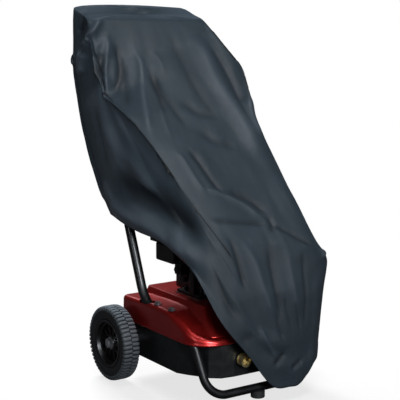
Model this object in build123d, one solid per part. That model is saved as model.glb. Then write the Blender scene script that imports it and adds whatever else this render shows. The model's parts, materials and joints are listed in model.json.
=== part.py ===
from build123d import *
import os
import math

# ---------------------------------------------------------------------------
# Petrol pressure washer on two wheels under a fitted fabric storage cover.
# Millimetres. +Z up, front of the machine towards -Y, operator side +Y.
# Origin: on the floor, under the centre of the overall box.
# ---------------------------------------------------------------------------

# wheels and axle
AXLE_Y, AXLE_Z = 55.0, 101.6
WHEEL_R = 101.6
TYRE_IN_X, TYRE_OUT_X = 210.0, 258.0
RIM_R = 66.0
AXLE_R = 7.95
RUN = 0.05                      # radial running clearance

# deck shell
DECK_HW, DECK_REAR, DECK_FRONT = 190.0, 95.0, -290.0
DECK_BOTTOM, DECK_TOP, DECK_T = 157.0, 226.0, 3.0
DECK_CORNER = 74.0
PLAT_TOP = 240.0

# skirt
SKIRT_HW, SKIRT_BOTTOM, SKIRT_T = 183.0, 69.0, 4.0

# tubes
HANDLE_R, HANDLE_RI = 12.7, 11.1
FOOT_R, FOOT_RI = 11.0, 9.2
HX = 173.0                      # half spacing of the handle tubes
HANDLE_LEAN = 0.365             # dy/dz of the straight handle
JOIN_Z = 764.0                  # joint of lower and upper handle
BAR_Y, BAR_Z = 318.0, 974.0     # handle cross bar

# engine
EX, EY = 0.0, -60.0             # crankshaft axis
SHAFT_R = 11.0

# cover
COVER_T = 2.0
COVER_ROWS = 11


def cyl(r, p, axis, length):
    """Cylinder from point p along unit axis."""
    return extrude(Plane(origin=Vector(*p), z_dir=Vector(*axis)) * Circle(r), length)


def ring(ro, ri, p, axis, length):
    return cyl(ro, p, axis, length) - cyl(ri, p, axis, length)


def block(x0, x1, y0, y1, z0, z1):
    return Pos((x0 + x1) / 2, (y0 + y1) / 2, (z0 + z1) / 2) * Box(x1 - x0, y1 - y0, z1 - z0)


def soft(shape, r, pick=None):
    """Fillet the picked edges if the kernel can do it."""
    e = shape.edges() if pick is None else pick(shape.edges())
    for k in (1.0, 0.6, 0.35):
        try:
            return fillet(e, r * k)
        except Exception:
            pass
    return shape


def rblock(x0, x1, y0, y1, z0, z1, r):
    return soft(block(x0, x1, y0, y1, z0, z1), r)


def bent(pts, radii):
    edges = []
    cur = Vector(*pts[0])
    for i in range(1, len(pts) - 1):
        p0, p1, p2 = Vector(*pts[i - 1]), Vector(*pts[i]), Vector(*pts[i + 1])
        d1, d2 = (p1 - p0).normalized(), (p2 - p1).normalized()
        half = math.radians(d1.get_angle(d2)) / 2
        r = radii[i - 1]
        a, b = p1 - d1 * (r * math.tan(half)), p1 + d2 * (r * math.tan(half))
        bis = (d2 - d1).normalized()
        m = p1 + bis * (r / math.cos(half) - r)
        edges.append(Edge.make_line(cur, a))
        edges.append(Edge.make_three_point_arc(a, m, b))
        cur = b
    edges.append(Edge.make_line(cur, Vector(*pts[-1])))
    return Wire(edges)


def tube(pts, radii, ro, ri=0.0):
    w = bent(pts, radii)
    d = (Vector(*pts[1]) - Vector(*pts[0])).normalized()
    pl = Plane(origin=Vector(*pts[0]), z_dir=d)
    s = sweep(pl * Circle(ro), path=w)
    if ri:
        s = s - sweep(pl * Circle(ri), path=w)
    return s


def hexa(af, p, axis, length):
    return extrude(Plane(origin=Vector(*p), z_dir=Vector(*axis)) * RegularPolygon(af / math.sqrt(3), 6), length)


def group(items):
    out = []
    for s in items:
        out.extend(s.solids())
    return Compound(children=out)


def mirror_x(s):
    return mirror(s, about=Plane.YZ)


X, Y, Z = (1, 0, 0), (0, 1, 0), (0, 0, 1)
MX, MY, MZ = (-1, 0, 0), (0, -1, 0), (0, 0, -1)
PARTS = {}

# ---------------------------------------------------------------------------
# deck shell: rounded plan, falling towards the front, raised engine platform
# ---------------------------------------------------------------------------


def plan(hw, y0, y1, rf, rr):
    sk = Pos(0, (y0 + y1) / 2) * Rectangle(2 * hw, y1 - y0)
    sk = fillet(sk.vertices().group_by(Axis.Y)[0], rf)
    sk = fillet(sk.vertices().group_by(Axis.Y)[-1], rr)
    return sk


def front_fall(drop):
    pts = [(-100, DECK_TOP - drop), (-150, 223 - drop), (-193, 211 - drop), (-249, 190 - drop),
           (-320, 165 - drop), (-320, 300), (-100, 300)]
    with_face = make_face(Polyline(*[(y, z) for y, z in pts], close=True))
    # Plane.YZ maps local x,y to Y,Z
    return extrude(Plane.YZ * with_face, 260, both=True)


def platform(inset, top):
    low = Plane.XY.offset(176 - inset) * (Pos(0, -93) * RectangleRounded(296 - 2 * inset, 366 - 2 * inset, 30))
    high = Plane.XY.offset(top) * (Pos(0, -63.5) * RectangleRounded(229 - 2 * inset, 281 - 2 * inset, 12))
    return loft([low, high])


outer = Pos(0, 0, DECK_BOTTOM) * extrude(plan(DECK_HW, DECK_FRONT, DECK_REAR, DECK_CORNER, 22), DECK_TOP - DECK_BOTTOM)
outer = (outer - front_fall(0)) + platform(0, PLAT_TOP)
inner = Pos(0, 0, DECK_BOTTOM - 1) * extrude(
    plan(DECK_HW - DECK_T, DECK_FRONT + DECK_T, DECK_REAR - DECK_T, DECK_CORNER - DECK_T, 19), DECK_TOP - DECK_BOTTOM - DECK_T + 1)
inner = (inner - front_fall(DECK_T + 0.5)) + platform(3.5, PLAT_TOP - DECK_T)
deck = outer - inner

# handle tube line: y of the straight handle at height z
def hy(z):
    return 72.8 + HANDLE_LEAN * (z - 417.7)


DECK_BOLTS_Y = (-74.0, -142.0)
TUBE_Z = 202.0
for sx in (-1, 1):
    # slot where the handle tube comes up through the deck
    deck = deck - (Pos(sx * HX, -22, DECK_TOP) * extrude(SlotOverall(58, 28.6, rotation=90), 20, both=True))
    for by in DECK_BOLTS_Y:
        deck = deck - cyl(4.3, (sx * HX, by, 180), Z, 80)
deck = deck - cyl(SHAFT_R + 14, (EX, EY, 200), Z, 60)
ENGINE_BOLTS = [(-82.0, -62.0), (-62.0, -137.0), (82.0, -62.0), (62.0, -137.0)]
for bx, by in ENGINE_BOLTS:
    deck = deck - cyl(4.2, (bx, by, 225), Z, 30)
PARTS["deck_shell"] = deck

# ---------------------------------------------------------------------------
# skirt: upright black wall under the deck
# ---------------------------------------------------------------------------
SK = [(-183, 88), (-183, -180), (-168, -210), (-151, -236), (-139, -260), (-114, -280), (-78, -286), (0, -287)]


def skirt_plan(inset):
    pts = []
    for x, y in SK:
        k = inset
        pts.append((x + k if x < -100 else x + k * 0.4, y - k if y > 0 else (y + k * (0.35 if y > -230 else 0.8 if y > -250 else 1.0))))
    pts[-1] = (0, -287 + inset)
    right = [(-x, y) for x, y in reversed(pts[:-1])]
    return make_face(Polyline(*(pts + right), close=True))


skirt = Pos(0, 0, SKIRT_BOTTOM) * (extrude(skirt_plan(0), DECK_BOTTOM - SKIRT_BOTTOM) - extrude(skirt_plan(SKIRT_T), DECK_BOTTOM - SKIRT_BOTTOM))
skirt = skirt + Pos(0, 0, DECK_BOTTOM - 4) * (extrude(skirt_plan(0), 4) - extrude(skirt_plan(SKIRT_T + 14), 4))
skirt = skirt - cyl(AXLE_R + 0.4, (-200, AXLE_Y, AXLE_Z), X, 400)
INLET = (-57.0, 113.0)
OUTLET = (57.0, 113.0)
for px, pz in (INLET, OUTLET):
    skirt = skirt - cyl(13.0, (px, -260, pz), MY, 60)
PARTS["base_skirt"] = skirt

# floor tray that ties skirt, pump and axle brackets together
tray = Pos(0, 0, DECK_BOTTOM - 8) * extrude(skirt_plan(SKIRT_T + 0.5), 3.9)
tray = tray - block(-140, 140, -235, -110, 140, 160) - cyl(52, (EX, EY, 140), Z, 20)
for sx in (-1, 1):
    tray = tray - block(sx * 142 - 5, sx * 142 + 5, 12, 72, 140, 160)
PARTS["cross_tray"] = tray

# ---------------------------------------------------------------------------
# foot frame: one bent tube, front bar on the floor pad, ends inside the handle tubes
# ---------------------------------------------------------------------------
BAR_FY, BAR_FZ = -282.6, 25.5
FR = [(HX, -112, TUBE_Z), (HX, -170, TUBE_Z), (170.5, -240, 160), (152, -BAR_FY * -1, BAR_FZ),
      (-152, -BAR_FY * -1, BAR_FZ), (-170.5, -240, 160), (-HX, -170, TUBE_Z), (-HX, -112, TUBE_Z)]
foot = tube(FR, [40, 30, 62, 62, 30, 40], FOOT_R, FOOT_RI)
for sx in (-1, 1):
    foot = foot - cyl(4.25, (sx * HX, -142, 180), Z, 60)
foot = foot - cyl(2.7, (0, BAR_FY, 10), Z, 12)
PARTS["foot_frame"] = foot

pad = soft(cyl(18.5, (0, BAR_FY, 0), Z, 19.0), 2.0, lambda e: e.group_by(Axis.Z)[0])
pad = pad - cyl(FOOT_R + 0.02, (-60, BAR_FY, BAR_FZ), X, 120) - cyl(6.0, (0, BAR_FY, -1), Z, 6) - cyl(2.7, (0, BAR_FY, 0), Z, 30)
PARTS["foot_pad"] = pad
pad_screw = cyl(5.2, (0, BAR_FY, 2.0), Z, 3.0) + cyl(2.6, (0, BAR_FY, 4.0), Z, 20.0)

# ---------------------------------------------------------------------------
# handle: two lower tubes, one upper hoop, knobs at the joint, foam grip
# ---------------------------------------------------------------------------
ZB = 417.0
low_pts = [(-HX, -150, TUBE_Z), (-HX, -14.6, TUBE_Z), (-HX, hy(ZB), ZB), (-HX, hy(JOIN_Z), JOIN_Z)]
lower = tube(low_pts, [95, 220], HANDLE_R, HANDLE_RI)
for by in DECK_BOLTS_Y:
    lower = lower - cyl(4.2, (-HX, by, 180), Z, 60)
BOLT_Z = 738.0
lower = lower - cyl(3.2, (-HX - 30, hy(BOLT_Z), BOLT_Z), X, 60)
PARTS["handle_lower_tubes"] = group([lower, mirror_x(lower)])

lean = Vector(0, HANDLE_LEAN, 1).normalized()
top_z = 948.0
hoop_pts = [(-HX, hy(JOIN_Z + 0.4), JOIN_Z + 0.4), (-HX, hy(top_z), top_z), (-HX, BAR_Y, BAR_Z), (HX, BAR_Y, BAR_Z),
            (HX, hy(top_z), top_z), (HX, hy(JOIN_Z + 0.4), JOIN_Z + 0.4)]
hoop = tube(hoop_pts, [28, 26, 26, 28], HANDLE_R, 10.9)
for sx in (-1, 1):
    p = Vector(sx * HX, hy(JOIN_Z - 58), JOIN_Z - 58)
    spig = cyl(11.0, tuple(p), tuple(lean), 74) - cyl(8.8, tuple(p), tuple(lean), 74)
    hoop = hoop + spig
    hoop = hoop - cyl(3.2, (sx * HX - 30, hy(BOLT_Z), BOLT_Z), X, 60)
PARTS["handle_upper"] = hoop
grip = ring(15.4, HANDLE_R + 0.02, (-118, BAR_Y, BAR_Z), X, 236)
PARTS["handle_grip"] = soft(grip, 1.5, lambda e: e.filter_by(lambda q: q.length > 90))

kb = []
for sx in (-1, 1):
    bx = -HX * 1.0 if sx < 0 else HX
    head = cyl(9.0, (bx + sx * 12.9, hy(BOLT_Z), BOLT_Z), (sx, 0, 0), 1.3)
    kb.append(head + cyl(3.1, (bx + sx * 13.0, hy(BOLT_Z), BOLT_Z), (-sx, 0, 0), 52))
PARTS["handle_joint_bolts"] = group(kb)
for name, sx in (("left", -1), ("right", 1)):
    c = (sx * (HX - 13.2), hy(BOLT_Z), BOLT_Z)
    k = cyl(11, c, (-sx, 0, 0), 8)
    k = k + cyl(15, (sx * (HX - 19.2), c[1], c[2]), (-sx, 0, 0), 13)
    for a in range(3):
        t = math.radians(90 + 120 * a)
        k = k + cyl(8.0, (sx * (HX - 19.2), c[1] + 15 * math.cos(t), c[2] + 15 * math.sin(t)), (-sx, 0, 0), 13)
    k = k - cyl(3.15, (sx * (HX - 10), c[1], c[2]), (-sx, 0, 0), 28)
    PARTS["handle_knob_" + name] = k

# deck bolts and nuts
db, dn = [], []
for sx in (-1, 1):
    for by in DECK_BOLTS_Y:
        zt = DECK_TOP if by > -100 else 224.6
        hd = cyl(10.5, (sx * HX, by, zt + 0.2), Z, 1.6) + hexa(13, (sx * HX, by, zt + 1.6), Z, 5.4)
        db.append(hd + cyl(4.0, (sx * HX, by, zt + 1.0), MZ, zt - 188.0))
        dn.append(hexa(13, (sx * HX, by, TUBE_Z - HANDLE_R - 6.7), Z, 6.5) - cyl(4.02, (sx * HX, by, 180), Z, 40))


# ---------------------------------------------------------------------------
# axle, brackets, spacers, wheels
# ---------------------------------------------------------------------------
axle = cyl(AXLE_R, (-254, AXLE_Y, AXLE_Z), X, 508)
PARTS["axle"] = axle
brk = []
for sx in (-1, 1):
    b = block(min(sx * 140, sx * 144), max(sx * 140, sx * 144), 20, 66, 74, 206)
    b = b + block(min(sx * 144, sx * 162), max(sx * 144, sx * 162), 20, 66, 145, 148.9)
    b = b - cyl(AXLE_R + 0.05, (-260, AXLE_Y, AXLE_Z), X, 520)
    brk.append(b)
PARTS["axle_brackets"] = group(brk)
sp = []
for sx in (-1, 1):
    sp.append(ring(12.5, AXLE_R + 0.05, (sx * 144.2, AXLE_Y, AXLE_Z), (sx, 0, 0), 34.4))
    sp.append(ring(12.5, AXLE_R + 0.05, (sx * 183.2, AXLE_Y, AXLE_Z), (sx, 0, 0), 21.6))
PARTS["axle_spacers"] = group(sp)
nt = []
wa = []
for sx in (-1, 1):
    wa.append(ring(15.5, AXLE_R + 0.1, (sx * 243.3, AXLE_Y, AXLE_Z), (sx, 0, 0), 2.0))
    nt.append(hexa(24, (sx * 245.4, AXLE_Y, AXLE_Z), (sx, 0, 0), 8.0) - cyl(AXLE_R + 0.02, (-260, AXLE_Y, AXLE_Z), X, 520))
PARTS["axle_nuts"] = group(wa + nt)


def wheel_rev(profile):
    """Revolve (x, r) points about the axle of the right wheel."""
    face = make_face(Polyline(*[(x, AXLE_Z + r) for x, r in profile], close=True))
    pl = Plane(origin=(0, AXLE_Y, 0), x_dir=(1, 0, 0), z_dir=(0, -1, 0))
    return revolve(pl * face, Axis((0, AXLE_Y, AXLE_Z), (1, 0, 0)), 360)


tyre = wheel_rev([(216, RIM_R), (212, 70), (210, 78), (210.5, 90), (213, 97.5), (218, 100.6), (226, WHEEL_R), (242, WHEEL_R),
                  (250, 100.6), (255, 97.5), (257.5, 90), (258, 78), (256, 70), (252, RIM_R)])
rim = wheel_rev([(213, 58), (211.5, 65), (216, 65.9), (252, 65.9), (256.5, 65), (255, 58), (246, 55.5), (244, 52), (224, 52), (222, 55.5)])
hub = wheel_rev([(206, AXLE_R + RUN), (206, 21), (225, 24), (238, 24), (243, 20), (243, AXLE_R + RUN)])
web = wheel_rev([(230, 20), (230, 54), (236, 54), (236, 20)])
wheel = rim + hub + web
for a in range(10):
    t = math.radians(36 * a + 18)
    c, s = math.cos(t), math.sin(t)
    # windows between the ribs
    ww = Plane(origin=(225, AXLE_Y + 38 * c, AXLE_Z + 38 * s), x_dir=(0, c, s), z_dir=(1, 0, 0)) * (RectangleRounded(20, 11, 4))
    wheel = wheel - extrude(ww, 16)
    t = math.radians(36 * a)
    c, s = math.cos(t), math.sin(t)
    rb = Plane(origin=(226, AXLE_Y + 37.5 * c, AXLE_Z + 37.5 * s), x_dir=(0, c, s), z_dir=(1, 0, 0)) * Rectangle(33, 4.2)
    wheel = wheel + extrude(rb, 15)
wheel = wheel - cyl(AXLE_R + RUN, (200, AXLE_Y, AXLE_Z), X, 60)
for name, f in (("right", lambda s: s), ("left", mirror_x)):
    PARTS["tyre_" + name] = f(tyre)
    PARTS["wheel_rim_" + name] = f(wheel)

# ---------------------------------------------------------------------------
# engine on the platform
# ---------------------------------------------------------------------------
case = rblock(-74, 74, -128, -4, 246.2, 330, 8)
case = case + rblock(-91, 91, -146, -40, PLAT_TOP + 3.2, 252, 2.5)
case = case + cyl(30, (EX, EY, 329), Z, 12)
case = case + cyl(11, (-88, -114, 251), Z, 79)
case = case - cyl(34, (EX, EY, 258), Z, 60) - cyl(SHAFT_R + RUN, (EX, EY, 230), Z, 130) - cyl(5.2, (-88, -114, 256), Z, 80)
for bx, by in ENGINE_BOLTS:
    case = case - cyl(4.2, (bx, by, 235), Z, 20)
    case = case - cyl(9.5, (bx, by, 252), Z, 12)
PARTS["crankcase"] = case
PARTS["engine_plate"] = block(-94, 94, -150, -36, PLAT_TOP + 0.1, PLAT_TOP + 3.1) - cyl(36, (EX, EY, 230), Z, 30)
for bx, by in ENGINE_BOLTS:
    PARTS["engine_plate"] = PARTS["engine_plate"] - cyl(4.2, (bx, by, 235), Z, 20)
PARTS["frame_bolts"] = group(db + [pad_screw] + [hexa(13, (bx, by, 252.1), Z, 6.5) + cyl(4.0, (bx, by, 253), MZ, 22) for bx, by in ENGINE_BOLTS])
PARTS["frame_nuts"] = group(dn + [hexa(13, (bx, by, 229.9), Z, 6.4) - cyl(4.02, (bx, by, 225), Z, 20) for bx, by in ENGINE_BOLTS])

barrel = cyl(34, (0, -128.2, 288), MY, 58)
for i in range(8):
    barrel = barrel + block(-46, 46, -137 - 6.4 * i, -134.5 - 6.4 * i, 252, 324)
PARTS["cylinder"] = barrel - cyl(26, (0, -128, 288), MY, 58.5)
head = rblock(-46, 46, -203, -186.4, 250, 324, 3)
for i in range(7):
    head = head + block(-36 + 12 * i - 1.4, -36 + 12 * i + 1.4, -216, -200, 254, 320)
head = head - cyl(6.0, (0, -230, 288), Y, 46)
PARTS["cylinder_head"] = head - block(-9, 9, -220, -203, 276, 300)
plug = cyl(5.9, (0, -190, 288), MY, 16) + hexa(16, (0, -203.2, 288), MY, 8) + cyl(5, (0, -211, 288), MY, 14)
PARTS["spark_plug"] = plug
PARTS["plug_cap"] = rblock(-9, 9, -236, -218.6, 279, 297, 3) - cyl(5.1, (0, -210, 288), MY, 16)

PARTS["muffler"] = rblock(80, 126, -132, -36, 262, 326, 9) + cyl(8, (74.2, -84, 292), X, 8)
guard = rblock(128.0, 131.5, -138, -30, 256, 330, 1.2)
for i in range(6):
    guard = guard - block(120, 140, -128 + 16 * i, -122 + 16 * i, 266, 320)
guard = guard + block(76, 131.5, -138, -134.5, 256, 330) + block(76, 131.5, -33.5, -30, 256, 330)
PARTS["muffler_guard"] = guard

# air filter on the left side, carburettor behind it
PARTS["carburettor"] = rblock(-96, -74.2, -92, -48, 292, 322, 3) + cyl(12, (-87.5, -66, 276), Z, 18)
base = rblock(-112, -96.2, -88, -2, 331, 376, 4) + block(-118, -112, -101, -71, 301, 328.5) + block(-112, -96.2, -101, -71, 301, 335)
base = base - cyl(12.2, (-130, -86, 315), X, 23.0)
PARTS["air_filter_base"] = base
box = rblock(-134, -112.2, -86, 0, 329, 378, 5) + rblock(-133, -116, -14, 30, 376, 396, 3)
box = box - block(-130, -112, -82, -4, 334, 373)
PARTS["air_filter_cover"] = box
PARTS["air_filter_foam"] = block(-128, -113, -80, -6, 336, 371)
PARTS["primer_bulb"] = cyl(11.0, (-113.2, -86, 315), MX, 6.0) + cyl(8.5, (-119.2, -86, 315), MX, 5) + cyl(5.5, (-124.2, -86, 315), MX, 2.5)

# blower housing, flywheel, recoil starter
house = cyl(90, (EX, EY, 342), Z, 62)
house = soft(house, 12, lambda e: e.group_by(Axis.Z)[-1])
house = house - cyl(86, (EX, EY, 340), Z, 60) - cyl(58, (EX, EY, 399), Z, 10)
for i in range(24):
    t = math.radians(15 * i)
    if 2 <= i <= 4:
        continue
    house = house - (Pos(EX + 72 * math.cos(t), EY + 72 * math.sin(t), 402) * Rot(0, 0, 15 * i) * Box(20, 5, 14))
PARTS["blower_housing"] = house
house = house - cyl(2.6, (60, -10, 390), Z, 20)
PARTS["blower_housing"] = house
fly = cyl(78, (EX, EY, 350), Z, 10)
for i in range(16):
    t = math.radians(22.5 * i)
    fly = fly + (Pos(EX + 64 * math.cos(t), EY + 64 * math.sin(t), 370) * Rot(0, 0, 22.5 * i + 20) * Box(24, 3, 22))
fly = fly - cyl(SHAFT_R - 2, (EX, EY, 340), Z, 40)
PARTS["flywheel"] = fly
shaft = cyl(SHAFT_R, (EX, EY, 176), Z, 173.8) + cyl(SHAFT_R - 2.02, (EX, EY, 349), Z, 18)
shaft = shaft + cyl(26, (EX, EY, 280), Z, 10) + cyl(26, (EX, EY, 300), Z, 10)
PARTS["crankshaft"] = shaft
starter = cyl(62, (EX, EY, 404.2), Z, 18)
starter = soft(starter, 7, lambda e: e.group_by(Axis.Z)[-1])
starter = starter + block(18, 42, -22, 6, 404.2, 424)
starter = starter - cyl(54, (EX, EY, 403), Z, 14) - cyl(3.2, (30, -8, 400), Z, 30)
PARTS["starter_housing"] = starter
tg = soft(cyl(8.5, (2, -8, 436), X, 56), 3.5)
tg = tg + cyl(3.0, (30, -8, 412), Z, 20)
PARTS["starter_grip"] = tg

# fuel tank in front of the blower housing
tank = rblock(-86, 86, -202, -153, 332, 428, 10)
tank = tank + cyl(14.0, (0, -178, 426), Z, 11.5)
tank = tank - block(-80, 80, -196, -159, 338, 422) - cyl(11.0, (0, -178, 415), Z, 30)
tank = tank + block(-60, -50, -200, -160, 326.2, 334) + block(50, 60, -200, -160, 326.2, 334)
tank = tank + cyl(8, (-70, -180, 311), Z, 22) + cyl(6, (-70, -180, 318), MX, 13)
PARTS["fuel_tank"] = tank
PARTS["fuel_cap"] = soft(cyl(20, (0, -178, 430.5), Z, 13), 2, lambda e: e.group_by(Axis.Z)[-1]) - cyl(14.06, (0, -178, 430), Z, 9)
PARTS["fuel_valve_knob"] = (cyl(9, (-84.2, -180, 318), MX, 7) + block(-91.2, -84.2, -184, -176, 300, 318)) 

PARTS["oil_cap"] = cyl(14, (-88, -114, 330.1), Z, 10) + cyl(2.4, (-88, -114, 262), Z, 70) + block(-101, -75, -116, -112, 340, 347)

# throttle lever on the blower housing
PARTS["throttle_lever"] = (block(58, 112, -14, -6, 404.6, 407.0) + cyl(8, (60, -10, 404.6), Z, 2.4) + cyl(7, (112, -10, 402), Z, 12)
                           + cyl(2.55, (60, -10, 397), Z, 9))

# ---------------------------------------------------------------------------
# pump under the platform
# ---------------------------------------------------------------------------
pump = cyl(48, (EX, EY, 118), Z, 112)
pump = pump - cyl(38, (EX, EY, 158), Z, 80) + ring(48, SHAFT_R + 3, (EX, EY, 226), Z, 6)
for a in range(3):
    t = math.radians(120 * a + 90)
    pump = pump - cyl(7.05, (EX + 22 * math.cos(t), EY + 22 * math.sin(t), 128), Z, 40)
PARTS["pump_housing"] = pump
wob = Pos(EX, EY, 184) * Rot(4, 0, 0) * Cylinder(33, 9)
PARTS["wobble_plate"] = (wob + cyl(16, (EX, EY, 176), Z, 24)) - cyl(SHAFT_R + 0.02, (EX, EY, 170), Z, 50)
pis, spr = [], []
for a in range(3):
    t = math.radians(120 * a + 90)
    px, py = EX + 22 * math.cos(t), EY + 22 * math.sin(t)
    pis.append(cyl(7.0, (px, py, 134), Z, 32) + cyl(10.5, (px, py, 170.5), Z, 3) + cyl(4.5, (px, py, 165), Z, 6))
    spr.append(ring(9.6, 7.6, (px, py, 158.3), Z, 12.0))
PARTS["pump_pistons"] = group(pis)
PARTS["pump_springs"] = group(spr)
man = rblock(-76, 76, -106, -14, 84, 117.8, 4)
man = man - cyl(8.2, (INLET[0], -60, INLET[1] - 9), MY, 60) - cyl(8.2, (OUTLET[0], -60, OUTLET[1] - 9), MY, 60)
man = man + cyl(9, (0, -105.8, 101), MY, 30.4) + hexa(20, (0, -105.8, 101), MY, 12.4)
PARTS["pump_manifold"] = man
PARTS["unloader_knob"] = cyl(13, (0, -136.4, 101), MY, 16)
PARTS["pump_pipes"] = group([tube([(px, -70, pz - 9), (px, -150, pz - 9), (px, -220, pz), (px, -292, pz)], [60, 60], 8.0, 5.0)
                             for px, pz in (INLET, OUTLET)])
# brass garden-hose swivel on the inlet
INLET_Y0, INLET_Y1 = -292.2, -312.0
sw = cyl(16.5, (INLET[0], -290.5, INLET[1]), MY, 20)
sw = sw - cyl(13.2, (INLET[0], -297, INLET[1]), MY, 20) - cyl(8.05, (INLET[0], -285, INLET[1]), MY, 20)
for i in range(20):
    t = math.radians(18 * i)
    sw = sw - cyl(1.3, (INLET[0] + 16.8 * math.cos(t), -293.5, INLET[1] + 16.8 * math.sin(t)), MY, 14)
PARTS["inlet_swivel"] = sw
PARTS["outlet_nipple"] = ring(11.0, 5.0, (OUTLET[0], -292.1, OUTLET[1]), MY, 20) + ring(14, 5.0, (OUTLET[0], -292.1, OUTLET[1]), MY, 4)

# ---------------------------------------------------------------------------
# spray gun, lance and hose carried on the right handle tube
# ---------------------------------------------------------------------------
d = lean
n = Vector(0, -d.Z, d.Y)


def gp(x, z, off):
    """Point off mm in front of the handle line at height z."""
    return Vector(x, hy(z), z) + n * off


hol = ring(17, HANDLE_R + 0.05, tuple(gp(HX, 690, 0)), tuple(d), 26)
hol = hol + extrude(Plane(origin=gp(HX - 7, 690, 24), x_dir=(1, 0, 0), z_dir=tuple(d)) * Rectangle(20, 16), 26)
hol = hol + ring(19, 14.6, tuple(gp(HX - 8, 690, 36)), tuple(d), 26)
hol = hol - cyl(HANDLE_R + 0.05, tuple(gp(HX, 680, 0)), tuple(d), 50)
hol = hol - cyl(14.6, tuple(gp(HX - 8, 680, 36)), tuple(d), 50)
PARTS["gun_holster"] = hol
gx = HX - 8
gun = cyl(13.5, tuple(gp(gx, 708, 36)), tuple(d), 112)
grp = Plane(origin=gp(gx, 806, 38), x_dir=(1, 0, 0), z_dir=tuple((n * 0.95 - d * 0.31).normalized())) * RectangleRounded(24, 32, 8)
gun = gun + extrude(grp, 44)
slot_c = gp(gx, 768, 44)
gun = gun - extrude(Plane(origin=slot_c, x_dir=(1, 0, 0), z_dir=tuple(n)) * Rectangle(9, 40), 12)
gun = gun - cyl(2.55, tuple(gp(gx - 14, 776, 46)), X, 28)
PARTS["spray_gun"] = gun
trg = extrude(Plane(origin=gp(gx, 776, 46), x_dir=(1, 0, 0), z_dir=tuple((n * 0.96 + d * -0.28).normalized())) * RectangleRounded(7, 12, 3), 26)
PARTS["gun_trigger"] = trg + cyl(2.5, tuple(gp(gx - 9, 776, 46)), X, 18)
lance = cyl(7.5, tuple(gp(gx, 420, 36)), tuple(d), 306) + cyl(11, tuple(gp(gx, 405, 36)), tuple(d), 32)
PARTS["lance"] = lance + cyl(8.5, tuple(gp(gx, 384, 36)), tuple(d), 24) - cyl(1.5, tuple(gp(gx, 380, 36)), tuple(d), 20)

hc = gp(10, 582, 30)
coil = None
for i in range(4):
    pl = Plane(origin=hc + n * (10.4 * i), x_dir=(1, 0, 0), z_dir=tuple(n))
    tor = pl * Torus(96 - 1.5 * (i % 2), 5.0)
    coil = tor if coil is None else coil + tor
PARTS["hose_coil"] = coil if len(coil.solids()) == 1 else group([coil])
hk = cyl(6.0, tuple(gp(-HX + 13.2, 660, 0)), X, 2 * HX - 26.4)
arm = tube([tuple(gp(10, 660, 3)), tuple(gp(10, 660, 78)), tuple(gp(10, 682, 78))], [10], 4.5)
PARTS["hose_hook_bar"] = hk + arm

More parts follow.
